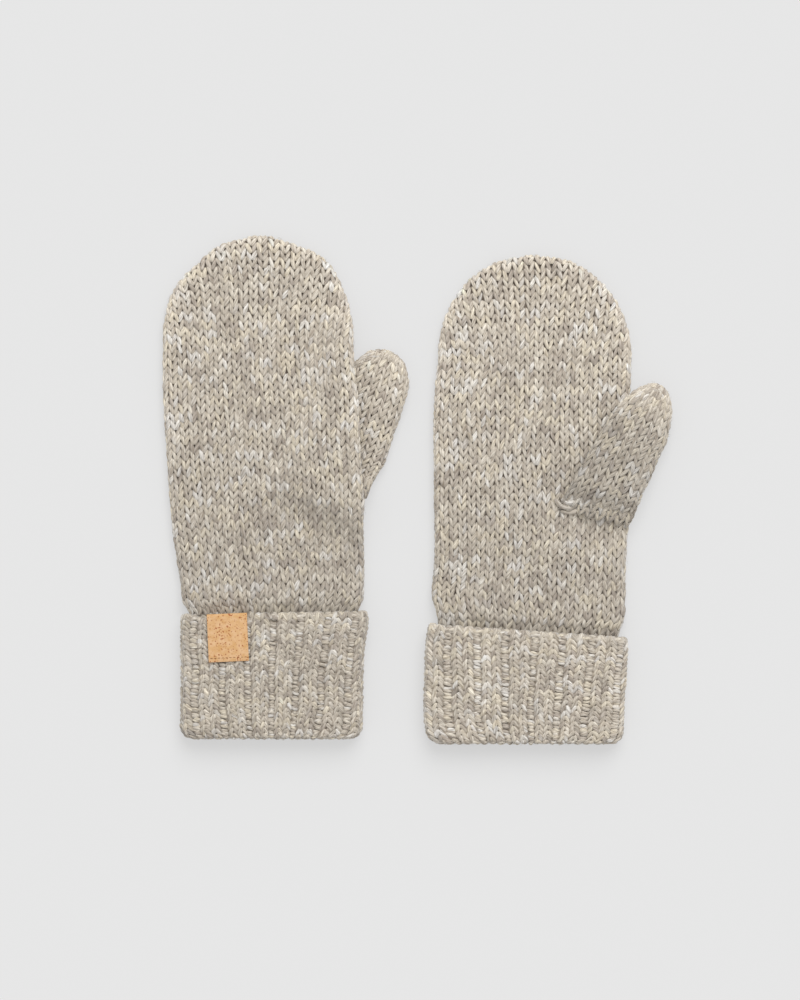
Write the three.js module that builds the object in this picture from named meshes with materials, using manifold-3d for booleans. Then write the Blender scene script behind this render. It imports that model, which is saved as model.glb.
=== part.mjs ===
// A pair of knitted mittens laid flat side by side: the left one with the back of
// the hand up, the right one with its palm up. Millimetres, +Z up. They lie on z = 0
// with their fingertips towards +Y.
//
// Each mitten is worked in a frame of its own: x across, y from the fold of the cuff
// up to the fingertips, z up. A hand is two stockinette panels, back and palm, that
// lie on each other. The thumb is a tube over a slit in the palm. The cuff is a rib
// tube that runs down from the wrist and is turned up once over the hand's lower edge.

import * as THREE from "three";
import { mergeVertices } from "three/addons/utils/BufferGeometryUtils.js";
import Module from "manifold-3d";

const wasm = await Module();
wasm.setup();

// Cloth
const WALL = 3.0; // thickness of the stockinette and of a layer of rib
const SEAM_GAP = 0.3; // between pieces that are sewn together
const HAND_HEIGHT = 7.0; // both panels, lying on each other
const EDGE_ROUNDING = 4.6; // how far in from the side the hand reaches its full height
const SEAM_INSET = [0, 0.5, 1.4, 2.8, EDGE_ROUNDING, 12, 20, 28, 36];

// Hand outline: the sides are sampled every few rows, the tip is half a superellipse
const SIDE_STEP = 10;
const FIRST_STEP = 5; // the lowest row of the sides is this high, within the cuff's edge
const TIP_STEPS = 16;
const TIP_POWER = 2.1;
const TUCK = 3.0; // the hand's lower edge lies this far inside the turned-up cuff
const RISE_LENGTH = 14; // over which the hand climbs from the surface into the cuff
const RISE_CLEARANCE = 2; // the climb is over this far above the cuff's edge

// Cuff: half heights of its four faces from its middle plane, over and under it
const CUFF_MIDDLE = 6.45;
const OUTER_FACE = { over: 6.75, under: 6.45 };
const TURNED_LINING = { over: 4.35, under: 3.45 };
const WRIST_FACE = { over: 3.15, under: 3.15 };
const WRIST_LINING = { over: 0.15, under: 0.15 };
const CORNER_RADIUS = 8;
const RIB_REPEATS = 15; // two knit columns and one purl column each
const RIB_HEIGHT = 1.2;
const RIB_SHAPE = [0, 0.7, 1, 0.72, 1, 0.7]; // purl valley, then two knit columns
const RIB_GATHER = 3; // how far the columns draw together towards the fold

// Thumb
const THUMB_HEIGHT = 7.0;
const THUMB_SIDE_STEPS = 5;
const THUMB_FACE_STEPS = 4;
const THUMB_BEND = 0.2; // inner radius where the tube turns up out of the slit
const BEND_ANGLES = [0, 30, 60, 90];
const BASE_LENGTH = 14; // over which the thumb widens from its base
const TIP_INSETS = [20, 14, 9, 4.6, 2.8, 1.4, 0.5];
const SLIT_MARGIN = 4; // from the thumb's side to the end of the slit
const SLIT_WIDTH = 1;

// Cork label
const LABEL = { x: -22.4, width: 20, length: 24, thick: 0.6, turn: 2.5, back: 6 };
const LABEL_CORNER = 0.5;
const LABEL_PINCH = { depth: 2.2, beside: 2.5, length: 3 }; // the cuff's edge is squeezed down under it

// Each mitten as it lies. Sides of the hand and of the cuff are at heights above the fold.
// A thumb stands at x, y, turned from the fingers' direction by its angle in degrees. It
// has its half widths at the base, past the base and where the tip begins, its length, the
// length of its tip and the power of the tip's superellipse.
const LEFT = {
  name: "left",
  place: [-72.2, -125.05],
  thumbSide: -1,
  tip: { y: 200, x: -7, halfWidth: 47.7, length: 52.6 },
  hand: [
    { y: 61, left: -41.2, right: 42.6 },
    { y: 65, left: -41.6, right: 43.2 },
    { y: 70, left: -44.8, right: 45.4 },
    { y: 80, left: -46, right: 45.8 },
    { y: 100, left: -49.2, right: 45.8 },
    { y: 120, left: -51.2, right: 45.2 },
    { y: 160, left: -54, right: 43.7 },
    { y: 185, left: -54.8, right: 41.8 },
    { y: 200, left: -54.7, right: 40.7 },
  ],
  cuff: [
    { y: 0, left: -45.8, right: 44.8 },
    { y: 27, left: -45.3, right: 45 },
    { y: 48, left: -45.3, right: 46 },
    { y: 60, left: -45.4, right: 47.8 },
    { y: 65, left: -44.6, right: 47.4 },
  ],
  cuffTop: { left: 63.5, right: 65.3 },
  ribPhase: 0,
  thumb: {
    x: 34.8,
    y: 129.8,
    angle: 20,
    base: 14.6,
    half: 17.3,
    end: 16.2,
    length: 69.5,
    tip: 22.5,
    power: 2.15,
  },
};
const RIGHT = {
  name: "right",
  place: [53.8, -127.55],
  thumbSide: 1,
  tip: { y: 193, x: 5, halfWidth: 48.3, length: 52.5 },
  hand: [
    { y: 54, left: -44, right: 46 },
    { y: 60, left: -43.6, right: 47.5 },
    { y: 65, left: -44.6, right: 49.6 },
    { y: 72, left: -46.6, right: 50.2 },
    { y: 95, left: -45, right: 50.8 },
    { y: 123, left: -45.3, right: 52.6 },
    { y: 160, left: -45.6, right: 53 },
    { y: 180, left: -44.8, right: 53.3 },
    { y: 193, left: -43.3, right: 53.3 },
  ],
  cuff: [
    { y: 0, left: -48.6, right: 48.8 },
    { y: 16, left: -50.6, right: 49.3 },
    { y: 32, left: -50.3, right: 50.2 },
    { y: 50, left: -49.8, right: 51.2 },
    { y: 62, left: -48.2, right: 50.6 },
  ],
  cuffTop: { left: 61.3, right: 54.7 },
  ribPhase: 3.8,
  thumb: {
    x: 35.2,
    y: 116.5,
    angle: 27,
    base: 17.6,
    half: 18,
    end: 16,
    length: 72,
    tip: 30,
    power: 1.85,
  },
};
const THUMB_SKEW = 0.2; // the slit runs this much flatter than square across the thumb
const SKEW_LENGTH = 25;
const THUMB_DROOP = { depth: 4, from: -3, to: 18 }; // past the hand's side, of a thumb on top
const LIFT_MARGIN = 2.5; // the hand lies fully raised this far round a thumb beneath it
const LIFT_LENGTH = 20; // and comes down to the surface over this length

const YARN = { color: 0xb7aea1, roughness: 0.95, metalness: 0 };
const CORK = { color: 0xe3b57c, roughness: 0.8, metalness: 0 };

const lerp = THREE.MathUtils.lerp;
const smoothstep = (x) => THREE.MathUtils.smoothstep(x, 0, 1);
const radians = THREE.MathUtils.degToRad;

// A quarter round that rises from 0 at the edge to 1 at t = 1
const quarterRound = (t) => Math.sqrt(1 - (1 - Math.min(Math.max(t, 0), 1)) ** 2);

// Reads a table's column at a height, with a smooth curve through its rows
function column(rows, key, y) {
  let i = 0;
  while (i < rows.length - 2 && y > rows[i + 1].y) i++;
  const slope = (a, b) => (rows[b][key] - rows[a][key]) / (rows[b].y - rows[a].y);
  const at = (k) => slope(Math.max(k - 1, 0), Math.min(k + 1, rows.length - 1));
  const span = rows[i + 1].y - rows[i].y;
  const t = Math.min(Math.max((y - rows[i].y) / span, 0), 1);
  const ends = (2 * t ** 3 - 3 * t ** 2 + 1) * rows[i][key] + (3 * t ** 2 - 2 * t ** 3) * rows[i + 1][key];
  return ends + span * ((t ** 3 - 2 * t ** 2 + t) * at(i) + (t ** 3 - t ** 2) * at(i + 1));
}

// Turns a list of triangles, as points, into one closed geometry that faces out
function closedGeometry(triangles) {
  const loose = new THREE.BufferGeometry();
  loose.setAttribute("position", new THREE.Float32BufferAttribute(triangles.flat(2), 3));
  const merged = mergeVertices(loose, 1e-4);
  const corners = merged.index.array;
  const kept = [];
  let volume = 0;
  const [a, b, c] = [new THREE.Vector3(), new THREE.Vector3(), new THREE.Vector3()];
  const points = merged.getAttribute("position");
  for (let i = 0; i < corners.length; i += 3) {
    const [p, q, r] = corners.slice(i, i + 3);
    if (p === q || q === r || r === p) continue;
    kept.push([p, q, r]);
    a.fromBufferAttribute(points, p);
    volume += a.dot(b.fromBufferAttribute(points, q).cross(c.fromBufferAttribute(points, r)));
  }
  merged.setIndex((volume < 0 ? kept.map(([p, q, r]) => [p, r, q]) : kept).flat());
  return merged;
}

// Two triangles for a four-sided face
const quad = (a, b, c, d) => [
  [a, b, c],
  [a, c, d],
];

// The faces of a grid of points; wrapped grids join their last column or row to the first
function gridFaces(grid, wrapColumns, wrapRows) {
  const faces = [];
  const rows = grid.length;
  const columns = grid[0].length;
  for (let k = 0; k < rows - (wrapRows ? 0 : 1); k++)
    for (let i = 0; i < columns - (wrapColumns ? 0 : 1); i++) {
      const [k2, i2] = [(k + 1) % rows, (i + 1) % columns];
      faces.push(...quad(grid[k][i], grid[k][i2], grid[k2][i2], grid[k2][i]));
    }
  return faces;
}

// A wall between two grids of points that match row for row and column for column. Its
// last row is closed on itself, as a spine or a pole.
function wallBetween(outer, inner, wrapColumns) {
  const flipped = inner.map((row) => [...row].reverse());
  const faces = [...gridFaces(outer, wrapColumns, false), ...gridFaces(flipped, wrapColumns, false)];
  faces.push(...gridFaces([inner[0], outer[0]], wrapColumns, false));
  if (!wrapColumns) {
    const last = outer[0].length - 1;
    const side = (i) => [outer.map((row) => row[i]), inner.map((row) => row[i])];
    const [startOuter, startInner] = side(0);
    const [endOuter, endInner] = side(last);
    faces.push(...gridFaces([startOuter, startInner], false, false));
    faces.push(...gridFaces([endInner, endOuter], false, false));
  }
  return faces;
}

// The cuff's upper edge, which slants a little
function cuffTopAt(mitten, x) {
  const { left, right } = mitten.cuffTop;
  const base = mitten.cuff[mitten.cuff.length - 1];
  const across = Math.min(Math.max((x - base.left) / (base.right - base.left), 0), 1);
  return lerp(left, right, across);
}

// How far the label squeezes the cuff's upper edge down
function labelPinch(mitten, x) {
  if (mitten.name !== "left") return 0;
  const beside = Math.abs(x - LABEL.x) - LABEL.width / 2 - LABEL_PINCH.beside;
  return LABEL_PINCH.depth * (1 - smoothstep(beside / LABEL_PINCH.length));
}

// How high a thumb that lies underneath lifts the hand at a point
function thumbLift(mitten, x, y) {
  if (mitten.thumbSide > 0) return 0;
  const { thumb } = mitten;
  const angle = radians(thumb.angle);
  const [dx, dy] = [x - thumb.x, y - thumb.y];
  const along = dx * Math.sin(angle) + dy * Math.cos(angle);
  const across = dx * Math.cos(angle) - dy * Math.sin(angle);
  const pastSide = Math.max(Math.abs(across) - thumb.half, 0);
  const pastEnd = Math.max(-along - THUMB_HEIGHT, along - thumb.length, 0);
  const away = Math.hypot(pastSide, pastEnd) - LIFT_MARGIN;
  return (THUMB_HEIGHT + 2 * THUMB_BEND + 0.1) * (1 - smoothstep(away / LIFT_LENGTH));
}

// Middle plane and half height of the hand at a point
function handLevel(mitten, x, y) {
  const aboveCuff = y - cuffTopAt(mitten, x) - RISE_CLEARANCE;
  const intoCuff = 1 - smoothstep(aboveCuff / RISE_LENGTH);
  return {
    middle: lerp(HAND_HEIGHT / 2, CUFF_MIDDLE, intoCuff) + thumbLift(mitten, x, y),
    half: lerp(HAND_HEIGHT / 2, WRIST_FACE.over, intoCuff),
  };
}

// The hand's outline from its lower left end over the fingertips to its lower right end,
// each point with the point of the centre line that it faces
function handOutline(mitten) {
  const { hand, tip } = mitten;
  const start = hand[0].y;
  const steps = Math.round((tip.y - start - FIRST_STEP) / SIDE_STEP);
  const side = (key) =>
    Array.from({ length: steps + 2 }, (_, k) => {
      const y = k === 0 ? start : lerp(start + FIRST_STEP, tip.y, (k - 1) / steps);
      const spine = (column(hand, "left", y) + column(hand, "right", y)) / 2;
      return { x: column(hand, key, y), y, spineX: spine, spineY: y };
    });
  const round = (value) => Math.sign(value) * Math.abs(value) ** (2 / TIP_POWER);
  const arc = Array.from({ length: TIP_STEPS - 1 }, (_, k) => {
    const angle = Math.PI * (1 - (k + 1) / TIP_STEPS);
    const x = tip.x + tip.halfWidth * round(Math.cos(angle));
    const y = tip.y + tip.length * round(Math.sin(angle));
    const last = hand[hand.length - 1];
    return { x, y, spineX: (last.left + last.right) / 2, spineY: tip.y };
  });
  return [...side("left"), ...arc, ...side("right").reverse()];
}

// Puts the hand's lower end parallel to the cuff's edge, a tuck inside it
function settle(mitten, x, y) {
  const start = mitten.hand[0].y;
  const fade = 1 - smoothstep((y - start) / (4 * RISE_LENGTH));
  return y + fade * (cuffTopAt(mitten, x) - TUCK - start);
}

// One stockinette panel. upper is 1 for the one on top and -1 for the one underneath.
function handPanel(mitten, upper) {
  const outline = handOutline(mitten);
  const pointAt = (place, inset, height) => {
    const reach = Math.hypot(place.x - place.spineX, place.y - place.spineY);
    const t = Math.min(inset / reach, 1);
    const x = lerp(place.x, place.spineX, t);
    const y = settle(mitten, x, lerp(place.y, place.spineY, t));
    const level = handLevel(mitten, x, y);
    return [x, y, level.middle + upper * (SEAM_GAP / 2 + height(level.half - SEAM_GAP / 2))];
  };
  const insets = [...SEAM_INSET, Infinity];
  const outer = insets.map((inset) =>
    outline.map((place) => pointAt(place, inset, (half) => half * quarterRound(inset / EDGE_ROUNDING))),
  );
  const inner = insets.map((inset) =>
    outline.map((place) => {
      const depth = Math.max(inset, WALL);
      const rounding = quarterRound((depth - WALL) / EDGE_ROUNDING);
      return pointAt(place, depth, (half) => (half - WALL) * rounding);
    }),
  );
  return closedGeometry(wallBetween(outer, inner, false));
}

// Half the width of a thumb at a distance from its base
function thumbHalfWidth(thumb, along) {
  const start = thumb.length - thumb.tip;
  const full = lerp(thumb.half, thumb.end, Math.min(Math.max(along / start, 0), 1));
  const straight = lerp(thumb.base, full, smoothstep(along / BASE_LENGTH));
  const past = Math.min(Math.max((along - start) / thumb.tip, 0), 1);
  return straight * (1 - past ** thumb.power) ** (1 / thumb.power);
}

// Takes a point of the thumb's own frame (across, along, up from the palm) to the mitten's
function thumbToMitten(mitten, [across, along, up]) {
  const { thumb } = mitten;
  const angle = radians(thumb.angle);
  const skew = THUMB_SKEW * (1 - smoothstep(along / SKEW_LENGTH));
  const forward = along + skew * across;
  const x = thumb.x + across * Math.cos(angle) + forward * Math.sin(angle);
  const y = thumb.y - across * Math.sin(angle) + forward * Math.cos(angle);
  if (mitten.thumbSide < 0) return [x, y, THUMB_HEIGHT + 2 * THUMB_BEND + 0.1 - up];
  const pastSide = x - column(mitten.hand, "right", y);
  const { depth, from, to } = THUMB_DROOP;
  return [x, y, HAND_HEIGHT + up - depth * smoothstep((pastSide - from) / (to - from))];
}

// A flat oval ring of the thumb: pairs of across and of height within the tube
function ovalRing(halfWidth, halfHeight) {
  const ring = [];
  const straight = Math.max(halfWidth - halfHeight, 0);
  for (const side of [1, -1]) {
    for (let k = 0; k <= THUMB_SIDE_STEPS; k++) {
      const angle = side * Math.PI * (0.5 - k / THUMB_SIDE_STEPS);
      ring.push([side * (straight + halfHeight * Math.cos(angle)), halfHeight * Math.sin(angle)]);
    }
    for (let k = 1; k < THUMB_FACE_STEPS; k++)
      ring.push([side * straight * (1 - (2 * k) / THUMB_FACE_STEPS), -side * halfHeight]);
  }
  return ring;
}

// The thumb: a flat tube that comes up out of the slit, turns over and lies on the palm
function thumbTube(mitten) {
  const { thumb } = mitten;
  const middle = THUMB_BEND + THUMB_HEIGHT / 2;
  const bendEnd = THUMB_HEIGHT + THUMB_BEND;
  const rings = (inset) => {
    const half = THUMB_HEIGHT / 2 - inset;
    const bend = BEND_ANGLES.map((degrees) => {
      const angle = radians(degrees);
      const halfWidth = thumbHalfWidth(thumb, bendEnd * Math.sin(angle / 2)) - inset;
      return ovalRing(halfWidth, half).map(([across, height]) => {
        const reach = middle + height;
        return [across, bendEnd - reach * Math.cos(angle), SEAM_GAP + reach * Math.sin(angle)];
      });
    });
    const end = thumb.length - inset;
    const lengths = [14, 22, 32, 42, ...TIP_INSETS.map((tipInset) => end - tipInset)];
    const straight = lengths.map((along) => {
      const width = thumbHalfWidth(thumb, along * (thumb.length / end)) - inset;
      const height = half * quarterRound((end - along) / EDGE_ROUNDING);
      return ovalRing(Math.max(width, height), height).map(([across, up]) => [
        across,
        along,
        SEAM_GAP + middle + up,
      ]);
    });
    const pole = ovalRing(1, 1).map(() => [0, end, SEAM_GAP + middle]);
    const place = (point) => thumbToMitten(mitten, point);
    return [...bend, ...straight, pole].map((ring) => ring.map(place));
  };
  return closedGeometry(wallBetween(rings(0), rings(WALL), true));
}

// The slit in the palm that the thumb's tube stands over, as a cutter through the panel
function slitCutter(mitten) {
  const { thumb } = mitten;
  const half = thumb.base - SLIT_MARGIN;
  const centre = THUMB_HEIGHT / 2;
  const corner = (across, along, z) => {
    const [x, y] = thumbToMitten(mitten, [across, along, 0]);
    return [x, y, z];
  };
  const rim = [
    [-half, centre - SLIT_WIDTH / 2],
    [half, centre - SLIT_WIDTH / 2],
    [half, centre + SLIT_WIDTH / 2],
    [-half, centre + SLIT_WIDTH / 2],
  ];
  const level = handLevel(mitten, thumb.x, thumb.y).middle;
  const reach = mitten.thumbSide * HAND_HEIGHT;
  const low = rim.map(([across, along]) => corner(across, along, level));
  const high = rim.map(([across, along]) => corner(across, along, level + reach));
  const caps = [...quad(...low), ...quad(...[...high].reverse())];
  return closedGeometry([...gridFaces([high, low], true, false), ...caps]);
}

const asManifold = (geometry) =>
  new wasm.Manifold(
    new wasm.Mesh({
      numProp: 3,
      vertProperties: geometry.getAttribute("position").array,
      triVerts: new Uint32Array(geometry.index.array),
    }),
  );

// Cuts one closed geometry out of another
function cut(body, cutter) {
  const mesh = asManifold(body).subtract(asManifold(cutter)).getMesh();
  const geometry = new THREE.BufferGeometry();
  geometry.setAttribute("position", new THREE.BufferAttribute(mesh.vertProperties, 3));
  geometry.setIndex(new THREE.BufferAttribute(mesh.triVerts, 1));
  return geometry;
}

// The cuff: a ring of stations round the flattened tube, each carrying the same looped
// profile, which runs down the turned-up layer, round the fold and up the inner layer
function cuffTube(mitten) {
  const stations = RIB_REPEATS * RIB_SHAPE.length;
  const foldCentre = (OUTER_FACE.over - WRIST_LINING.over) / 2;
  const faceAt = (face, normalZ) => lerp(face.under, face.over, (1 + normalZ) / 2);
  const halfWidthAt = (y) => (column(mitten.cuff, "right", y) - column(mitten.cuff, "left", y)) / 2;
  const straightAt = (y) => {
    const corner = Math.max(CORNER_RADIUS - y, 0);
    const inset = CORNER_RADIUS - Math.sqrt(CORNER_RADIUS ** 2 - corner ** 2);
    return halfWidthAt(y) - inset - (OUTER_FACE.over + OUTER_FACE.under) / 2;
  };
  const outerHalf = (OUTER_FACE.over + OUTER_FACE.under) / 2;
  const girth = 4 * straightAt(30) + 2 * Math.PI * outerHalf;

  // Where a station stands at a height: its point on the tube's spine and its normal
  const standing = (station, y) => {
    const gather = RIB_GATHER * Math.max(1 - y / 60, 0);
    const around = (station / stations) * girth + mitten.ribPhase;
    const s = around - gather * Math.sin((4 * Math.PI * around) / girth);
    const straight = straightAt(y);
    const stretch = (4 * straight + 2 * Math.PI * outerHalf) / girth;
    const middle = (column(mitten.cuff, "left", y) + column(mitten.cuff, "right", y)) / 2;
    let travel = (((s * stretch) % (girth * stretch)) + girth * stretch) % (girth * stretch);
    const end = Math.PI * outerHalf;
    const legs = [straight, end, 2 * straight, end, straight];
    let leg = 0;
    while (leg < 4 && travel > legs[leg]) travel -= legs[leg++];
    const turn = travel / outerHalf;
    if (leg === 0) return { x: middle + travel, nx: 0, nz: 1 };
    if (leg === 1) return { x: middle + straight, nx: Math.sin(turn), nz: Math.cos(turn) };
    if (leg === 2) return { x: middle + straight - travel, nx: 0, nz: -1 };
    if (leg === 3) return { x: middle - straight, nx: -Math.sin(turn), nz: -Math.cos(turn) };
    return { x: middle - straight + travel, nx: 0, nz: 1 };
  };

  // A profile point: height above the fold, the face that it is on, and how far the rib
  // raises it there
  const place = (station, y, half, rib) => {
    const at = standing(station, y);
    const onTop = smoothstep((at.nz + 0.6) / 0.6);
    const raised = rib * RIB_HEIGHT * RIB_SHAPE[station % RIB_SHAPE.length] * onTop;
    const out = half(at.nz) + raised;
    return [at.x + at.nx * out, y, CUFF_MIDDLE + at.nz * out];
  };
  const on = (face, less = 0) => (normalZ) => faceAt(face, normalZ) - less;
  const foldArc = (outerFace, innerFace, degrees) => {
    const angle = radians(degrees);
    const turn = (normalZ) => {
      const [far, near] = [faceAt(outerFace, normalZ), faceAt(innerFace, normalZ)];
      return (far + near) / 2 + ((far - near) / 2) * Math.cos(angle);
    };
    const depth = (OUTER_FACE.over - WRIST_LINING.over) / 2;
    const reach = outerFace === OUTER_FACE ? depth : depth - WALL + SEAM_GAP;
    return { y: foldCentre - reach * Math.sin(angle), half: turn };
  };

  const rings = [];
  for (let station = 0; station < stations; station++) {
    const { x, nx, nz } = standing(station, mitten.hand[0].y);
    const wrist = cuffTopAt(mitten, x + (nx * WRIST_FACE.over) / 2) - TUCK - SEAM_GAP;
    const edge = x + nx * outerHalf;
    const top = cuffTopAt(mitten, edge) - (nz > 0 ? labelPinch(mitten, edge) : 0);
    const arcs = [0, 45, 90, 135, 180].map((degrees) => foldArc(OUTER_FACE, WRIST_LINING, degrees));
    const inner = [180, 90, 0].map((degrees) => foldArc(TURNED_LINING, WRIST_FACE, degrees));
    const ribAt = [1, 0.6, 0, 0, 0];
    rings.push([
      place(station, top, on(OUTER_FACE, 1), 0.6),
      place(station, top - 1.2, on(OUTER_FACE), 1),
      place(station, 0.6 * top, on(OUTER_FACE), 1),
      place(station, 0.3 * top, on(OUTER_FACE), 1),
      place(station, CORNER_RADIUS, on(OUTER_FACE), 1),
      ...arcs.map(({ y, half }, k) => place(station, y, half, ribAt[k])),
      place(station, wrist, on(WRIST_LINING), 0),
      place(station, wrist, on(WRIST_FACE), 0),
      ...inner.map(({ y, half }) => place(station, y, half, 0)),
      place(station, top, on(TURNED_LINING), 0),
    ]);
  }
  return closedGeometry(gridFaces(rings, true, true));
}

// The cork label: a strip folded over the cuff's upper edge, seen in section and extruded
function corkLabel(mitten) {
  const ribTop = CUFF_MIDDLE + OUTER_FACE.over + RIB_HEIGHT;
  const lining = CUFF_MIDDLE + TURNED_LINING.over;
  const { length, back, thick, width, turn, x } = LABEL;
  const outerZ = [lining - SEAM_GAP - thick, ribTop + SEAM_GAP + thick];
  const innerZ = [lining - SEAM_GAP, ribTop + SEAM_GAP];
  const tilt = (width / 2) * Math.sin(radians(turn));
  const fold = cuffTopAt(mitten, x) - LABEL_PINCH.depth + SEAM_GAP + tilt;
  const corner = LABEL_CORNER;
  const centreY = fold - corner;
  const section = new THREE.Shape();
  section.moveTo(outerZ[1], fold - length);
  section.absarc(innerZ[1] - corner, centreY, corner + thick, 0, Math.PI / 2, false);
  section.absarc(innerZ[0] + corner, centreY, corner + thick, Math.PI / 2, Math.PI, false);
  section.lineTo(outerZ[0], fold - back);
  section.lineTo(innerZ[0], fold - back);
  section.absarc(innerZ[0] + corner, centreY, corner, Math.PI, Math.PI / 2, true);
  section.absarc(innerZ[1] - corner, centreY, corner, Math.PI / 2, 0, true);
  section.lineTo(innerZ[1], fold - length);
  section.closePath();
  const strip = new THREE.ExtrudeGeometry(section, { depth: width, bevelEnabled: false, curveSegments: 4 });
  strip.deleteAttribute("normal");
  strip.deleteAttribute("uv");
  // The section's own x is the height and its y runs up the cuff
  strip.translate(0, -fold, -width / 2);
  strip.applyMatrix4(
    new THREE.Matrix4().makeBasis(
      new THREE.Vector3(0, 0, 1),
      new THREE.Vector3(0, 1, 0),
      new THREE.Vector3(-1, 0, 0),
    ),
  );
  strip.rotateZ(radians(turn));
  strip.translate(x, fold, 0);
  return mergeVertices(strip, 1e-4);
}

function piece(name, geometry, finish) {
  const mesh = new THREE.Mesh(geometry, new THREE.MeshStandardMaterial(finish));
  mesh.name = name;
  return mesh;
}

// One mitten. The palm is on the thumb's side.
function makeMitten(mitten) {
  const { name, thumbSide } = mitten;
  const group = new THREE.Group();
  group.add(piece(`${name}_back`, handPanel(mitten, -thumbSide), YARN));
  group.add(piece(`${name}_palm`, cut(handPanel(mitten, thumbSide), slitCutter(mitten)), YARN));
  group.add(piece(`${name}_thumb`, thumbTube(mitten), YARN));
  group.add(piece(`${name}_cuff`, cuffTube(mitten), YARN));
  if (name === "left") group.add(piece("left_label", corkLabel(mitten), CORK));
  group.position.set(...mitten.place, 0);
  return group;
}

const pair = new THREE.Group();
pair.add(makeMitten(LEFT), makeMitten(RIGHT));

export default pair;
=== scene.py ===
# A pair of knitted mittens laid flat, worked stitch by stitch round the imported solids.
# Sizes are in millimetres in each mitten's own frame (x across, y from the fold of the cuff
# to the fingertips, z up from the surface) and become metres when a mesh is made.

import math
from dataclasses import dataclass

import bpy
import numpy as np
from bpy.props import FloatProperty, FloatVectorProperty, IntProperty, PointerProperty
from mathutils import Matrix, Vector


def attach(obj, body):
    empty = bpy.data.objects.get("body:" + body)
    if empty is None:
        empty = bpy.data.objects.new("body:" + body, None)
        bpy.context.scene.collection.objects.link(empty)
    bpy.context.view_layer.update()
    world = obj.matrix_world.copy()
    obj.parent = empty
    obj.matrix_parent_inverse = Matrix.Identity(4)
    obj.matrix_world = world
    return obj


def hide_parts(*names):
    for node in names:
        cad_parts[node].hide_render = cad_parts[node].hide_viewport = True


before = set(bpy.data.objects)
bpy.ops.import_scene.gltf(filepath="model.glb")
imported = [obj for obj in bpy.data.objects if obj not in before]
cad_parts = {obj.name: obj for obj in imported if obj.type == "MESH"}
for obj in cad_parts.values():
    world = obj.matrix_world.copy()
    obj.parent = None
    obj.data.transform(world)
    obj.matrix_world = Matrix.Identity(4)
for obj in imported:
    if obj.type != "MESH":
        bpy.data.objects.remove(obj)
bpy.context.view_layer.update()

bl_info = {
    "name": "Knitted mittens",
    "version": (1, 0, 0),
    "blender": (4, 5, 0),
    "location": "View3D > Sidebar > Mittens",
    "description": "Knits a pair of marled mittens with turned-up ribbed cuffs",
    "category": "Add Mesh",
}

MM = 0.001
RANDOM_SEED = 11

# The solids' own sizes, which the knitting follows
WALL = 3.0
SEAM_GAP = 0.3
HAND_HEIGHT = 7.0
EDGE_ROUNDING = 4.6  # in plan, of a hand's edge
TIP_POWER = 2.1  # of the superellipse round a hand's tip
TUCK = 3.0  # how far a hand reaches into its cuff
RISE_LENGTH = 14.0  # the hand rises to the cuff over this length
RISE_CLEARANCE = 2.0
CUFF_MIDDLE = 6.45  # the height of its middle plane
OUTER_OVER, OUTER_UNDER = 6.75, 6.45  # the cuff's layers from its middle, above and below
TURNED_OVER, TURNED_UNDER = 4.35, 3.45
WRIST_HALF = 3.15
OPENING_HALF = 0.15
CUFF_HALF = (OUTER_OVER + OUTER_UNDER) / 2
FOLD_CENTRE = (OUTER_OVER - OPENING_HALF) / 2
CORNER_RADIUS = 8.0  # the cuff narrows to its edge over this height
CUFF_WAIST = 30.0  # the height at which the cuff's girth is measured
RIB_REPEATS = 15
RIB_HEIGHT = 1.2
RIB_GATHER = 3.0  # how far the ribs crowd together at the sides of the edge
RIB_SPACING = (0, 0.315, 0.685, 1)  # where the columns of a repeat stand in it
THUMB_HEIGHT = 7.0
THUMB_BEND = 0.2  # between a thumb and the palm
THUMB_BASE_LENGTH = 14.0
THUMB_ROUNDING = 3.5
THUMB_LINING = 2.6  # how far a thumb's inner face lies in from its outer one
THUMB_SLOPE = 15.0  # the thumb's base slopes down to the palm over this length
SLOPE_FROM, FLAT_SLOPE_FROM = -0.5, -2.6  # where it starts, in plan and on flat cloth
THUMB_TILT = 0.045
THUMB_SKEW, SKEW_LENGTH = 0.2, 25.0  # how a thumb's base slants across it
DROOP_DEPTH, DROOP_FROM, DROOP_TO = 4.0, -3.0, 18.0  # it hangs down past the hand's side
LIFT_MARGIN, LIFT_LENGTH = 2.5, 20.0  # a hand that lies on a thumb is lifted this far beside it
THUMB_LIFT = THUMB_HEIGHT + 2 * THUMB_BEND + 0.1
LABEL_X = -22.4
LABEL_WIDTH = 20.0
LABEL_LENGTH = 23.4
LABEL_TURN = 2.5  # degrees
LABEL_BACK = 6.0
LABEL_THICK = 0.6
LABEL_RAISE = 1.0
LABEL_FOLD = 1.1  # radius of its fold
LABEL_FOLD_OUT = 0.5  # how far the fold stands up past the cuff's edge
LABEL_FLAT_FROM = 2.2  # its layers are flat from here down
LABEL_HOLLOW, LABEL_DIP = 0.22, 0.35  # how it waves, and how its lower end dips
LABEL_EDGE = 0.12
LABEL_TOP = CUFF_MIDDLE + OUTER_OVER + RIB_HEIGHT + SEAM_GAP + LABEL_THICK
LABEL_LOW = CUFF_MIDDLE + TURNED_OVER - SEAM_GAP - LABEL_THICK
PINCH_DEPTH, PINCH_BESIDE, PINCH_LENGTH = 2.2, 2.5, 3.0
THREAD_PITCH = 1.9
THREAD_INSET = 2.0  # the seam's distance from the label's lower end
THREAD_HALF_SIZE = (0.68, 0.2, 0.16)  # of one machine stitch

# How softly the cloth of a hand lies
BAG_HEIGHT, BAG_AT, BAG_WIDTH = 1.1, 13.0, 7.0  # it bags out above the cuff
DRAWN_IN, DRAWN_LENGTH = 2.3, 4.6  # and is drawn in at the cuff's edge

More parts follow.
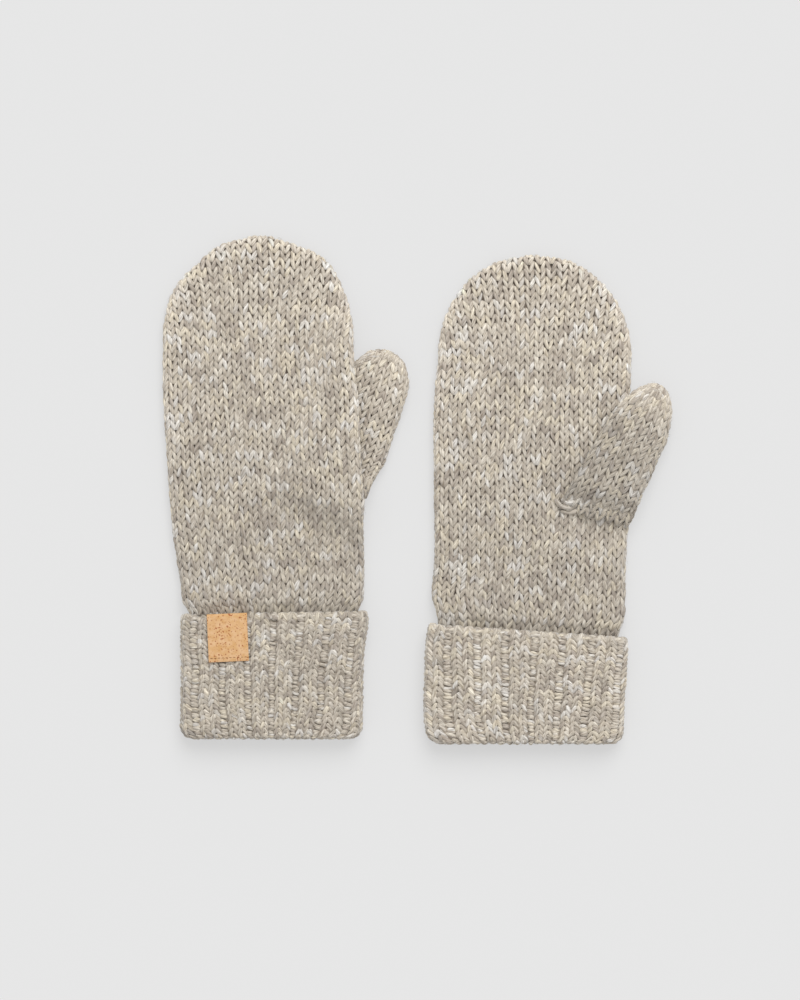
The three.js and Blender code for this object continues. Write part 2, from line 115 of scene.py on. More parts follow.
# The yarn on the cloth
UNDERSIDE_SINK = 0.25  # yarn is pressed this much flatter where the mitten rests
REST_CLEARANCE = 0.02
YARN_SINK = 0.75  # a stitch's centre lies this far under the solid's face
SHELL_SINK = 1.25
RIB_SHELL_SINK = 0.95
LEG_STEPS = (0, 0.18, 0.42, 0.66, 0.86, 1)  # the rings of a leg, from its start to its end
LEG_RINGS = len(LEG_STEPS)
FLATTENED = 0.74  # how flat a strand lies: its depth to its width
WRAP_FLATTENED = 0.85
PURL_FLATTENED = 0.62
RIB_THINNER = 0.97  # the rib is knitted tighter
RIM_HIGHLIGHT, RIM_WIDTH = 0.13, 5.0  # painted highlight: stitches within this width of the outline are painted paler
HAND_SEAM, THUMB_SEAM = -0.55, 0.2  # how far inside the seam stitches end, or past it
FAN_OUT = 0.25  # a hand's columns spread over its tip
TIP_BOW = 3.2  # and its rows bow
# How far stitches wander across and along, and over how many stitches
HAND_SWAY, HAND_SWAY_LENGTH = (0.32, 0.35), (9.0, 7.0)
THUMB_SWAY, THUMB_SWAY_LENGTH = (0.25, 0.3), (6.0, 6.0)
RIB_SWAY, RIB_SWAY_LENGTH = (0.42, 0.42), (7.0, 9.0)
RUN_LENGTH = 3  # legs that a stretch of one colour takes up
PLIES = 10.0  # streaks round a strand
PLY_LENGTHS = 1.3  # streak lengths in a stitch's leg
PLY_TWIST = 3.0
# The loops at the thumb's inner corner: reach, first and last angle, height
CORNER_LOOPS = ((2.8, 200, 335, 1.8), (5.4, 190, 300, 1.3), (7.6, 245, 318, 0.7))
# The last rows round a thumb's tip: distance inside its edge, number of loops
TIP_ROWS = ((-0.3, 12), (1.5, 10), (3.4, 8))
TIP_ROW_LENGTH = 15.0
# A purl stitch's two loops: reach, curve, place in the row, thickness, rise. The bump curves
# down at its ends, and the loop between two bumps curves up.
PURL_LOOPS = ((0.46, 0.14, 0.3, 0.86, 0.72), (0.52, -0.14, 0.8, 0.8, 0.5))
PURL_SLANT = 0.16
RIB_START = -3.0  # the rib's rows start behind its edge
INSIDE_ROWS = 6  # and reach this far into the opening
RIB_FADE = 0.6  # the rib fades out where the cuff faces down by this much
EDGE_CHAIN_AT = -0.1
EDGE_CHAIN_RAISE = 0.6

# The loose fibre ends: they start a little under the stitches' tops
FIBRE_LENGTH, FIBRE_RISE, FIBRE_RADIUS = (1.2, 3.6), (0.3, 1.1), (0.035, 0.07)
FIBRE_ROOT, FIBRE_CURL, FIBRE_LIFT = -0.5, 0.9, 0.3
FIBRE_SHADES = (2, 5)  # from beige to white

# The stage
FLOOR_SIZE = 12  # metres
FLOOR_GLOW = 0.5
SKY_STRENGTH = 0.72
KEY_STRENGTH = 1.96
KEY_SPREAD = 45  # degrees
KEY_FROM = (0.2, 0.8, 1.0)
CAMERA_AIM = (-0.00845, -0.00455)
CAMERA_LENS, CAMERA_SENSOR = 200, 36

# Soft troughs of each hand: from x, y to x, y, half width, depth
TROUGHS = {
    "left": (
        (10, 123, 37, 90, 5.5, 1.5), (33, 96, 30, 74, 6.0, 1.0), (-22, 150, 12, 141, 9.0, 0.6),
        (-38, 98, -8, 92, 8.0, 0.5),
    ),
    "right": (
        (26, 112, 47, 104, 5.0, 2.4), (20, 140, 14, 118, 6.0, 0.9), (-30, 160, 2, 152, 9.0, 0.6),
        (-24, 96, 6, 88, 8.0, 0.5),
    ),
}

# Places where each hand's outline dips in: x, y, width, depth
DENTS = {
    "left": (
        (-39, 240, 11, 2.2), (-20, 251, 7, 0.9), (9, 251, 7, 0.9), (29, 241, 11, -1.7),
        (44, 122, 9, -1.6),
    ),
    "right": ((-30, 238, 8, -0.8), (52, 172, 8, 0.8)),
}


@dataclass
class Leg:
    """The shape of one leg of a stitch. Start and spread are shares of a column, and below
    and length shares of a row. Swell and rise hold a value for each of its rings."""

    start: float
    spread: float
    below: float
    length: float
    swell: tuple
    rise: tuple


HAND_LEG = Leg(
    0.035, 0.425, -0.34, 1.5, (0.68, 0.92, 1.0, 0.98, 0.8, 0.4), (-0.02, 0.1, 0.12, 0.02, -0.26, -0.52)
)
RIB_LEG = Leg(
    0.0, 0.5, -0.5, 1.5, (0.8, 1.0, 1.04, 1.04, 0.92, 0.6), (0.32, 0.34, 0.18, -0.02, -0.22, -0.42)
)


@dataclass
class Thumb:
    """Where a thumb stands, how far it leans and its half widths from base to tip."""

    x: float
    y: float
    angle: float
    base: float
    half: float
    end: float
    length: float
    tip: float
    power: float
    stitches_from: float


@dataclass
class Mitten:
    """One mitten as it lies. The tables' rows are (y, left side, right side). The hand's and thumb's
    painted light scales their yarn's colour at the lower end and at the tip: the yarn is painted paler
    towards the tip, on the side the light comes from, and the hand's lower end is painted in shade. The
    cuff's tone scales the colour of all its yarn."""

    name: str
    place: tuple
    thumb_side: int
    tip_y: float
    tip_x: float
    tip_half: float
    tip_length: float
    hand: tuple
    cuff: tuple
    cuff_top: tuple
    rib_phase: float
    thumb: Thumb
    # painted light: scales of the hand's and thumb's yarn colour at the lower end and at the tip
    hand_painted_light: tuple
    thumb_painted_light: tuple
    cuff_tone: float


LEFT = Mitten(
    name="left",
    place=(-72.2, -125.05),
    thumb_side=-1,
    tip_y=200,
    tip_x=-7,
    tip_half=47.7,
    tip_length=52.6,
    hand=(
        (61, -41.2, 42.6), (65, -41.6, 43.2), (70, -44.8, 45.4), (80, -46, 45.8),
        (100, -49.2, 45.8), (120, -51.2, 45.2), (160, -54, 43.7), (185, -54.8, 41.8),
        (200, -54.7, 40.7),
    ),
    cuff=(
        (0, -45.8, 44.8), (27, -45.3, 45), (48, -45.3, 46), (60, -45.4, 47.8), (65, -44.6, 47.4),
    ),
    cuff_top=(63.5, 65.3),
    rib_phase=0,
    thumb=Thumb(34.8, 129.8, 20, 14.6, 17.3, 16.2, 69.5, 22.5, 2.15, -8.2),
    hand_painted_light=(0.876, 1.14),
    thumb_painted_light=(1.05, 1.2),
    cuff_tone=0.915,
)
RIGHT = Mitten(
    name="right",
    place=(53.8, -127.55),
    thumb_side=1,
    tip_y=193,
    tip_x=5,
    tip_half=48.3,
    tip_length=52.5,
    hand=(
        (54, -44, 46), (60, -43.6, 47.5), (65, -44.6, 49.6), (72, -46.6, 50.2), (95, -45, 50.8),
        (123, -45.3, 52.6), (160, -45.6, 53), (180, -44.8, 53.3), (193, -43.3, 53.3),
    ),
    cuff=(
        (0, -48.6, 48.8), (16, -50.6, 49.3), (32, -50.3, 50.2), (50, -49.8, 51.2),
        (62, -48.2, 50.6),
    ),
    cuff_top=(61.3, 54.7),
    rib_phase=3.8,
    thumb=Thumb(35.2, 116.5, 27, 17.6, 18, 16, 72, 30, 1.85, -4.1),
    hand_painted_light=(0.89, 1.18),
    thumb_painted_light=(0.85, 1.2),
    cuff_tone=0.98,
)
PAIR = (LEFT, RIGHT)


def linear(hex_colour):
    """An sRGB hex colour as linear red, green and blue."""
    channels = [int(hex_colour[i : i + 2], 16) / 255 for i in (1, 3, 5)]
    return tuple(c / 12.92 if c <= 0.04045 else ((c + 0.055) / 1.055) ** 2.4 for c in channels)


def colour_property(name, description, default):
    return FloatVectorProperty(
        name=name, description=description, subtype="COLOR", min=0, max=1, default=linear(default)
    )


def length_property(name, description, default):
    return FloatProperty(name=name, description=description, default=default, unit="LENGTH")


def count_property(name, description, default, least=0):
    return IntProperty(name=name, description=description, default=default, min=least)


def smoothstep(x):
    x = np.clip(x, 0, 1)
    return x * x * (3 - 2 * x)


def blend(a, b, t):
    return a + (b - a) * t


# Surfaces of the mittens


def table_column(rows, side, y):
    """A smooth curve through a table's rows, read at the heights y."""
    heights = np.array([row[0] for row in rows], float)
    values = np.array([row[side] for row in rows], float)
    last = len(rows) - 1
    before, after = np.maximum(np.arange(last + 1) - 1, 0), np.minimum(np.arange(last + 1) + 1, last)
    slopes = (values[after] - values[before]) / (heights[after] - heights[before])
    i = np.clip(np.searchsorted(heights, y) - 1, 0, last - 1)
    span = heights[i + 1] - heights[i]
    t = np.clip((y - heights[i]) / span, 0, 1)
    ends = (2 * t**3 - 3 * t**2 + 1) * values[i] + (3 * t**2 - 2 * t**3) * values[i + 1]
    return ends + span * ((t**3 - 2 * t**2 + t) * slopes[i] + (t**3 - t**2) * slopes[i + 1])


def sides_at(rows, y):
    return table_column(rows, 1, y), table_column(rows, 2, y)


def cuff_top_at(mitten, x):
    _, left, right = mitten.cuff[-1]
    return blend(*mitten.cuff_top, np.clip((x - left) / (right - left), 0, 1))


def label_pinch(mitten, x):
    """How far the label squeezes the cuff's edge down."""
    if mitten is not LEFT:
        return 0 * x
    beside = np.abs(x - LABEL_X) - LABEL_WIDTH / 2 - PINCH_BESIDE
    return PINCH_DEPTH * (1 - smoothstep(beside / PINCH_LENGTH))


def thumb_lift(mitten, x, y):
    """How high a thumb that lies underneath lifts the hand."""
    if mitten.thumb_side > 0:
        return 0 * x
    thumb = mitten.thumb
    angle = math.radians(thumb.angle)
    dx, dy = x - thumb.x, y - thumb.y
    along = dx * math.sin(angle) + dy * math.cos(angle)
    across = dx * math.cos(angle) - dy * math.sin(angle)
    past_side = np.maximum(np.abs(across) - thumb.half, 0)
    past_end = np.maximum(np.maximum(-along - THUMB_HEIGHT, along - thumb.length), 0)
    away = np.hypot(past_side, past_end) - LIFT_MARGIN
    return THUMB_LIFT * (1 - smoothstep(away / LIFT_LENGTH))


def hand_level(mitten, x, y):
    """Height of the hand's middle plane and half the hand's height."""
    above_cuff = y - cuff_top_at(mitten, x) - RISE_CLEARANCE
    into_cuff = 1 - smoothstep(above_cuff / RISE_LENGTH)
    middle = blend(HAND_HEIGHT / 2, CUFF_MIDDLE, into_cuff) + thumb_lift(mitten, x, y)
    return middle, blend(HAND_HEIGHT / 2, WRIST_HALF, into_cuff)


def softness(mitten, upper, x, y):
    """How far a hand's cloth stands out of its panel, or dips where that is negative. The
    cloth bags out above the cuff and is drawn in at its edge, and it has a few troughs."""
    above = y - cuff_top_at(mitten, x)
    out = BAG_HEIGHT * np.exp(-(((above - BAG_AT) / BAG_WIDTH) ** 2))
    out = out - DRAWN_IN * np.exp(-((np.maximum(above, 0) / DRAWN_LENGTH) ** 2))
    for x0, y0, x1, y1, width, depth in TROUGHS[mitten.name]:
        square = (x1 - x0) ** 2 + (y1 - y0) ** 2
        run = np.clip(((x - x0) * (x1 - x0) + (y - y0) * (y1 - y0)) / square, 0, 1)
        away = np.hypot(x - blend(x0, x1, run), y - blend(y0, y1, run))
        out = out - depth * (0.55 + 0.45 * np.sin(math.pi * run)) * np.exp(-((away / width) ** 2))
    # the side that rests is pressed flat
    return out if upper > 0 else 0.4 * np.minimum(out, 0)


def settle(mitten, x, y):
    """Puts the hand's lower end parallel to the cuff's edge, a tuck inside it."""
    start = mitten.hand[0][0]
    fade = 1 - smoothstep((y - start) / (4 * RISE_LENGTH))
    return y + fade * (cuff_top_at(mitten, x) - TUCK - start)


def power_arc(value, power):
    return np.sign(value) * np.abs(value) ** (2 / power)


def hand_outline(mitten, step, tip_steps):
    """The hand's outline from lower left over the tip to lower right, and the points of
    the centre line that its points face."""
    start = mitten.hand[0][0]
    y = np.linspace(start, mitten.tip_y, max(int((mitten.tip_y - start) / step), 2) + 1)
    left, right = sides_at(mitten.hand, y)
    angle = np.pi * (1 - np.arange(1, tip_steps) / tip_steps)
    tip = np.stack(
        [
            mitten.tip_x + mitten.tip_half * power_arc(np.cos(angle), TIP_POWER),
            mitten.tip_y + mitten.tip_length * power_arc(np.sin(angle), TIP_POWER),
        ],
        1,
    )
    spine = np.stack([(left + right) / 2, y], 1)
    outline = np.concatenate([np.stack([left, y], 1), tip, np.stack([right, y], 1)[::-1]])
    spines = np.concatenate([spine, np.repeat(spine[-1:], len(tip), 0), spine[::-1]])
    inward = spines - outline
    inward = inward / np.linalg.norm(inward, axis=1, keepdims=True)
    for dent_x, dent_y, width, depth in DENTS[mitten.name]:
        away = np.hypot(outline[:, 0] - dent_x, outline[:, 1] - dent_y)
        outline = outline + inward * (depth * np.exp(-((away / width) ** 2)))[:, None]
    return outline, spines


def even_spacing(points, step):
    """A polyline resampled at an even spacing."""
    lengths = np.concatenate([[0], np.cumsum(np.linalg.norm(np.diff(points, axis=0), axis=1))])
    at = np.linspace(0, lengths[-1], int(lengths[-1] / step) + 1)
    return np.stack([np.interp(at, lengths, points[:, k]) for k in (0, 1)], 1)


class Edge:
    """An outline, clockwise seen from above, that answers how far inside it a point is."""

    CHUNK = 8192

    def __init__(self, points):
        self.points = points
        tangents = np.gradient(points, axis=0)
        self.tangents = tangents / np.linalg.norm(tangents, axis=1, keepdims=True)

    def nearest(self, x, y):
        flat = np.stack([np.ravel(x), np.ravel(y)], 1)
        index = np.empty(len(flat), int)
        for k in range(0, len(flat), self.CHUNK):
            part = flat[k : k + self.CHUNK]
            gaps = (part[:, None, :] - self.points[None]) ** 2
            index[k : k + self.CHUNK] = gaps.sum(2).argmin(1)
        return index.reshape(np.shape(x))

    def inside(self, x, y, index):
        """Distance inside the outline, and the position along its tangent."""
        q, t = self.points[index], self.tangents[index]
        dx, dy = x - q[..., 0], y - q[..., 1]
        return dx * t[..., 1] - dy * t[..., 0], dx * t[..., 0] + dy * t[..., 1]

    def at(self, inset, along, index):
        q, t = self.points[index], self.tangents[index]
        x = q[..., 0] + along * t[..., 0] + inset * t[..., 1]
        y = q[..., 1] + along * t[..., 1] - inset * t[..., 0]
        return x, y


def quarter_arc(rounding, half):
    """The length of cloth over a rounded edge, which is close to a quarter ellipse."""
    return math.pi / 2 * math.sqrt((rounding**2 + half**2) / 2)


def round_over(distance, rounding, half):
    """Turns a distance on flat cloth from a rounded edge into an inset in plan and the
    share of the height there."""
    arc = quarter_arc(rounding, half)
    unrolled = distance + arc - rounding
    turn = np.minimum(unrolled / arc, 1) * math.pi / 2
    inset = np.where(unrolled < arc, rounding * (1 - np.cos(turn)), distance)
    return inset, np.sin(turn)


class EdgedFace:
    """A face of knitting that is rounded over along its edge, down to a seam at half height.
    Flat cloth coordinates x, y go to points in the mitten's frame."""

    ROUNDING = HALF = None

    def __init__(self, mitten, outline, below, spacing, turned_over):
        drop = np.array([[0.0, -below]])
        outline = np.concatenate([outline[:1] + drop, outline, outline[-1:] + drop])
        self.mitten, self.turned_over = mitten, turned_over
        self.edge = Edge(even_spacing(outline, spacing))
        self.arc = quarter_arc(self.ROUNDING, self.HALF)

    def prepare(self, x, y):
        return self.edge.nearest(x, y)

    def within(self, x, y, margin=0.0):
        """True where the flat cloth reaches, up to the seam at the side."""
        distance, _ = self.edge.inside(x, y, self.prepare(x, y))
        return distance > self.ROUNDING - self.arc + margin


class HandFace(EdgedFace):
    """The upper or the lower face of a hand."""

    ROUNDING, HALF = EDGE_ROUNDING, HAND_HEIGHT / 2

    def __init__(self, mitten, upper):
        outline, _ = hand_outline(mitten, 2, 48)
        super().__init__(mitten, outline, 12.0, 1.0, upper < 0)
        self.upper = upper

    def point(self, x, y, near):
        distance, along = self.edge.inside(x, y, near)
        inset, share = round_over(distance, self.ROUNDING, self.HALF)
        px, py = self.edge.at(inset, along, near)
        py = settle(self.mitten, px, py)
        middle, half = hand_level(self.mitten, px, py)
        gap = SEAM_GAP / 2
        thick = half - gap + softness(self.mitten, self.upper, px, py)
        return px, py, middle + self.upper * (gap + thick * share)


def thumb_half_width(thumb, along):
    start = thumb.length - thumb.tip
    full = blend(thumb.half, thumb.end, np.clip(along / start, 0, 1))
    straight = blend(thumb.base, full, smoothstep(along / THUMB_BASE_LENGTH))
    past = np.clip((along - start) / thumb.tip, 0, 1)
    return straight * (1 - past**thumb.power) ** (1 / thumb.power)


def thumb_to_mitten(mitten, across, along, up):
    """Takes a point of the thumb's own frame to the mitten's."""
    thumb = mitten.thumb
    angle = math.radians(thumb.angle)
    skew = THUMB_SKEW * (1 - smoothstep(along / SKEW_LENGTH))
    forward = along + skew * across
    x = thumb.x + across * math.cos(angle) + forward * math.sin(angle)
    y = thumb.y - across * math.sin(angle) + forward * math.cos(angle)
    if mitten.thumb_side < 0:
        return x, y, THUMB_LIFT - up
    past_side = x - table_column(mitten.hand, 2, y)
    droop = DROOP_DEPTH * smoothstep((past_side - DROOP_FROM) / (DROOP_TO - DROOP_FROM))
    droop = droop + THUMB_TILT * across * smoothstep(along / THUMB_SLOPE)
    return x, y, HAND_HEIGHT + up - droop


def thumb_slope(along, up, inset=0.0):
    """Lets the thumb's outer face slope down to the palm at the base."""
    turn = np.clip((along - SLOPE_FROM) / THUMB_SLOPE, 0, 1) * math.pi / 2
    return np.minimum(up, SEAM_GAP + (THUMB_HEIGHT + THUMB_BEND) * np.sin(turn) ** 1.7 - inset)


class ThumbFace(EdgedFace):
    """The outer face of a thumb, away from the palm (outward 1), or the one on the palm."""

    ROUNDING, HALF = THUMB_ROUNDING, THUMB_HEIGHT / 2

    def __init__(self, mitten, outward):
        along = np.linspace(0, mitten.thumb.length, 400)
        side = np.stack([thumb_half_width(mitten.thumb, along), along], 1)
        outline = np.concatenate([side * (-1, 1), side[::-1]])
        super().__init__(mitten, outline, 8.0, 0.5, outward * mitten.thumb_side < 0)
        self.outward = outward

    def point(self, x, y, near):
        distance, beside = self.edge.inside(x, y, near)
        inset, share = round_over(distance, self.ROUNDING, self.HALF)
        across, along = self.edge.at(inset, beside, near)
        up = SEAM_GAP + THUMB_BEND + self.HALF * (1 + self.outward * share)
        # the slope is longer on flat cloth than in plan
        shorter = (THUMB_SLOPE - SLOPE_FROM) / (THUMB_SLOPE - FLAT_SLOPE_FROM)
        sloping = SLOPE_FROM + (along - FLAT_SLOPE_FROM) * shorter
        along = np.where(along < THUMB_SLOPE, sloping, along)
        return thumb_to_mitten(self.mitten, across, along, thumb_slope(along, up))


class CuffFace:
    """The visible face of the cuff. x goes round it from the middle of its upper side,
    and y runs down from its upper edge, over the fold and into the opening."""

    EDGE_RADIUS = 1.4
    EDGE_DROP = 0.7
    FOLD_DROP = 1.6
    SIDE_DROP = 0.8
    turned_over = True  # y runs down here

    def __init__(self, mitten):
        self.mitten = mitten
        self.girth = 4 * self.straight_at(CUFF_WAIST) + 2 * math.pi * CUFF_HALF
        self.fold_from = sum(mitten.cuff_top) / 2 - self.EDGE_DROP - self.EDGE_RADIUS - FOLD_CENTRE
        self.fold_to = self.fold_from + math.pi * FOLD_CENTRE

    def straight_at(self, y):
        left, right = sides_at(self.mitten.cuff, y)
        corner = np.clip(1 - y / CORNER_RADIUS, 0, 1.2)
        return (right - left) / 2 - CORNER_RADIUS * corner**2.4 - CUFF_HALF

    def standing(self, around, y):
        """The point of the tube's spine at a place round it, and the normal there."""
        gather = RIB_GATHER * np.maximum(1 - y / 60, 0)
        s = around - gather * np.sin(4 * math.pi * around / self.girth)
        straight = self.straight_at(y)
        round_length = 4 * straight + 2 * math.pi * CUFF_HALF
        middle = sum(sides_at(self.mitten.cuff, y)) / 2
        travel = np.mod(s * round_length / self.girth, round_length)
        arc = math.pi * CUFF_HALF
        first = np.clip((travel - straight) / CUFF_HALF, 0, math.pi)
        second = np.clip((travel - 3 * straight - arc) / CUFF_HALF, 0, math.pi)
        turn = first + second
        over = np.minimum(travel, straight) + np.maximum(travel - 3 * straight - 2 * arc, 0)
        under = np.clip(travel - straight - arc, 0, 2 * straight)
        x = middle + over - under
        return x, np.sin(turn), np.cos(turn)

    def facing_up(self, around):
        """How far the tube faces up at a place round it: 1 on top and -1 underneath."""
        return self.standing(around, np.full(np.shape(around), CUFF_WAIST))[2]

    def top_at(self, around):
        x, nx, nz = self.standing(around, np.full(np.shape(around), self.mitten.hand[0][0], float))
        edge = x + nx * CUFF_HALF
        return cuff_top_at(self.mitten, edge) - np.where(nz > 0, label_pinch(self.mitten, edge), 0)

    def prepare(self, x, y):
        return None

    def point(self, x, y, near):
        top = self.top_at(x) - self.EDGE_DROP
        radius = self.EDGE_RADIUS
        run = top - radius - FOLD_CENTRE
        # the straight stretch takes up the slant of the edge
        past_slant = np.where(y < self.fold_from, y * run / self.fold_from, y - self.fold_from + run)
        v = np.where(y < 0, y, past_slant)
        over_edge = np.clip(-v / radius, 0, math.pi)
        fold_depth = FOLD_CENTRE - self.FOLD_DROP
        fold_turn = np.clip((v - run) / FOLD_CENTRE, 0, math.pi)
        inside = np.maximum(v - run - math.pi * FOLD_CENTRE, 0)
        height = np.where(
            v < 0,
            top - radius + radius * np.sin(over_edge),
            np.where(v < run, top - radius - v, FOLD_CENTRE - fold_depth * np.sin(fold_turn) + inside),
        )
        sx, nx, nz = self.standing(x, height)
        outer = blend(OUTER_UNDER, OUTER_OVER, (1 + nz) / 2)
        reach = (outer + OPENING_HALF) / 2 + (outer - OPENING_HALF) / 2 * np.cos(fold_turn)
        reach = reach - radius * (1 - np.cos(over_edge)) - self.SIDE_DROP * (1 - np.abs(nz))
        return sx + nx * reach, height, CUFF_MIDDLE + nz * reach


def on_surface(face, x, y, height):
    """Points at a height above a face, over flat cloth coordinates, in metres."""
    near = face.prepare(x, y)
    nudge = 0.05
    base = np.stack(face.point(x, y, near), -1)
    by_x = np.stack(face.point(x + nudge, y, near), -1) - base
    by_y = np.stack(face.point(x, y + nudge, near), -1) - base
    normal = np.cross(by_x, by_y) * (-1 if face.turned_over else 1)
    normal /= np.maximum(np.linalg.norm(normal, axis=-1, keepdims=True), 1e-9)
    lowered = height - UNDERSIDE_SINK * np.clip(-normal[..., 2], 0, 1)
    points = base + normal * lowered[..., None]
    points[..., 2] = np.maximum(points[..., 2], REST_CLEARANCE)
    points[..., :2] += face.mitten.place
    return points * MM


# Yarn


def noise_field(rng, scale, waves=7):
    """A smooth random field over two coordinates, about -1 to 1."""
    directions = rng.uniform(0, 2 * math.pi, waves)
    frequencies = rng.uniform(0.5, 1.5, waves) / scale
    phases = rng.uniform(0, 2 * math.pi, waves)

    def field(x, y):
        total = 0
        for direction, frequency, phase in zip(directions, frequencies, phases):
            travel = x * math.cos(direction) + y * math.sin(direction)
            total = total + np.sin(2 * math.pi * frequency * travel + phase)
        return total / math.sqrt(waves)

    return field


def jitter_for(rng, count):
    """A function that draws a random value for each of so many strands, of about a size."""
    return lambda size: rng.normal(size=(count, 1)) * size


def wander(rng, sizes, lengths):
    """A function of two coordinates that moves stitches a little from their places."""
    fields = [noise_field(rng, length) for length in lengths]
    return lambda u, v: [size * field(u, v) for size, field in zip(sizes, fields)]


def new_mesh_object(name, points, polygons, sizes):
    """A mesh object from flat arrays: points, corner indices and corners per face."""
    mesh = bpy.data.meshes.new(name)
    mesh.vertices.add(len(points))
    mesh.vertices.foreach_set("co", np.ascontiguousarray(points, np.float32).ravel())
    mesh.loops.add(len(polygons))
    mesh.loops.foreach_set("vertex_index", np.ascontiguousarray(polygons, np.int32))
    starts = np.concatenate([[0], np.cumsum(sizes)[:-1]]).astype(np.int32)
    mesh.polygons.add(len(sizes))
    mesh.polygons.foreach_set("loop_start", starts)
    mesh.polygons.foreach_set("use_smooth", np.full(len(sizes), True))
    mesh.update(calc_edges=True)
    mesh.validate()
    made = bpy.data.objects.new(name, mesh)
    bpy.context.scene.collection.objects.link(made)
    return made


def add_uv(mesh, name, coordinates):
    layer = mesh.uv_layers.new(name=name)
    layer.data.foreach_set("uv", np.ascontiguousarray(coordinates, np.float32).ravel())


def join_strands(name, face, curves, widths, depths, colours, sides=6):
    """Closed tubes of yarn along many centre lines at once, as one mesh.

    curves is (strand, ring, 3): flat cloth x, y and height above the face. widths and
    depths are half sizes for each ring, and colours is (strand, ring, 3)."""
    count, rings, _ = curves.shape
    tangents = np.gradient(curves[..., :2], axis=1)
    tangents /= np.maximum(np.linalg.norm(tangents, axis=-1, keepdims=True), 1e-9)
    angles = 2 * math.pi * np.arange(sides) / sides - math.pi / 2
    across = widths[..., None] * np.cos(angles)
    x = curves[..., 0, None] + tangents[..., 1, None] * across
    y = curves[..., 1, None] - tangents[..., 0, None] * across
    height = curves[..., 2, None] + depths[..., None] * np.sin(angles)
    points = on_surface(face, x, y, height).reshape(-1, 3)

    ring = np.arange(sides)
    here, there = ring, (ring + 1) % sides
    quads = np.stack([here, here + sides, there + sides, there], 1)
    quads = (quads[None] + (np.arange(rings - 1) * sides)[:, None, None]).reshape(-1, 4)
    start_cap, end_cap = ring, (ring + sides * (rings - 1))[::-1]
    one_sizes = np.concatenate([np.full(len(quads), 4), [sides, sides]])
    corners = np.concatenate([quads.ravel(), start_cap, end_cap])
    along = np.repeat(np.arange(rings - 1), sides)
    t0, t1 = along / (rings - 1), (along + 1) / (rings - 1)
    v0, v1 = np.tile(here, rings - 1) / sides, np.tile(here + 1, rings - 1) / sides
    quad_uv = np.stack([np.stack(pair, 1) for pair in ((t0, v0), (t1, v0), (t1, v1), (t0, v1))], 1)
    caps = ((0, ring), (1, ring[::-1]))
    cap_uv = [np.stack([np.full(sides, t), order / sides], 1) for t, order in caps]
    one_uv = np.concatenate([quad_uv.reshape(-1, 2), *cap_uv])
    if signed_volume(points[: rings * sides], quads) < 0:
        order = reversed_corners(one_sizes)
        corners, one_uv = corners[order], one_uv[order]

    polygons = (corners[None] + (np.arange(count) * rings * sides)[:, None]).ravel()
    made = new_mesh_object(name, points, polygons, np.tile(one_sizes, count))
    cells = math.ceil(math.sqrt(count))
    cell = np.stack([np.arange(count) % cells, np.arange(count) // cells], 1)
    margin = 0.06
    baked = (cell[:, None, :] + margin + (1 - 2 * margin) * one_uv[None]) / cells
    add_uv(made.data, "OFBake", baked.reshape(-1, 2))
    t, v = one_uv.T
    plies = np.stack([PLY_LENGTHS * t, PLIES * v + PLY_TWIST * t], 1)
    shift = np.random.default_rng(RANDOM_SEED).uniform(0, 50, (count, 1, 2))
    add_uv(made.data, "Plies", (plies[None] + shift).reshape(-1, 2))
    attribute = made.data.color_attributes.new("Marl", "FLOAT_COLOR", "POINT")
    shades = np.ones((count, rings, sides, 4), np.float32)
    shades[..., :3] = colours[:, :, None, :]
    attribute.data.foreach_set("color", shades.ravel())
    return made


def simpler(strands):
    """Strands with a ring fewer, for sides that lie hidden."""
    kept = [0, 2, 3, 4, 5]
    return [kind[:, kept] for kind in strands]


def reversed_corners(sizes):
    """Indices that turn every face of a list of faces the other way round."""
    starts = np.concatenate([[0], np.cumsum(sizes)[:-1]])
    return np.concatenate([np.arange(s + n - 1, s - 1, -1) for s, n in zip(starts, sizes)])


def signed_volume(points, quads):
    a, b, c, d = (points[quads[:, k]] for k in range(4))
    return float((np.cross(a, b) * c).sum() + (np.cross(a, c) * d).sum())


def yarn_radius():
    return bpy.context.scene.mitten_sizes.yarn / MM / 2


def yarn_colours():
    colours = bpy.context.scene.mitten_colours
    shades = (colours.grey, colours.taupe, colours.beige, colours.cream, colours.white)
    return [np.array(shade) for shade in shades]


def marl(rng, rows, legs):
    """Colours along the yarn: soft runs of a few stitches that follow the rows, with
    cream stretches and short white flecks. Returns (rows, legs, 3)."""

    def streaks(together, alone):
        """Noise that runs along a row and noise of each leg's own, in these shares."""
        knots = rng.normal(size=(rows, int(legs / RUN_LENGTH) + 4))
        place = np.arange(legs) / RUN_LENGTH + rng.uniform(0, 1, (rows, 1))
        low, row = place.astype(int), np.arange(rows)[:, None]
        run = blend(knots[row, low], knots[row, low + 1], smoothstep(place - low))
        return together * run + alone * rng.normal(size=(rows, legs))

    grey, taupe, beige, cream, white = yarn_colours()
    tone = streaks(0.5, 0.85)
    colour = blend(grey, taupe, smoothstep((tone + 1.4) / 1.2)[..., None])
    colour = blend(colour, beige, smoothstep((tone - 0.1) / 1.2)[..., None])
    colour = blend(colour, cream, (0.7 * smoothstep((streaks(0.8, 0.7) - 0.3) / 1.2))[..., None])
    return blend(colour, white, (0.65 * smoothstep((streaks(0.8, 0.7) - 0.7) / 1.0))[..., None])


def loop_shades(rng, rows, loops, tone=1.0):
    """Colours of loops that aren't knit stitches, paler by the tone."""
    shades = np.minimum(tone * marl(rng, rows, loops).reshape(-1, 1, 3), 1)
    return np.repeat(shades, LEG_RINGS, axis=1)


def taper(t, least, reach):
    """A loop's width along it, t from -1 to 1: full in its middle and least at its ends."""
    return least + (1 - least) * np.sqrt(1 - (reach * t) ** 2)


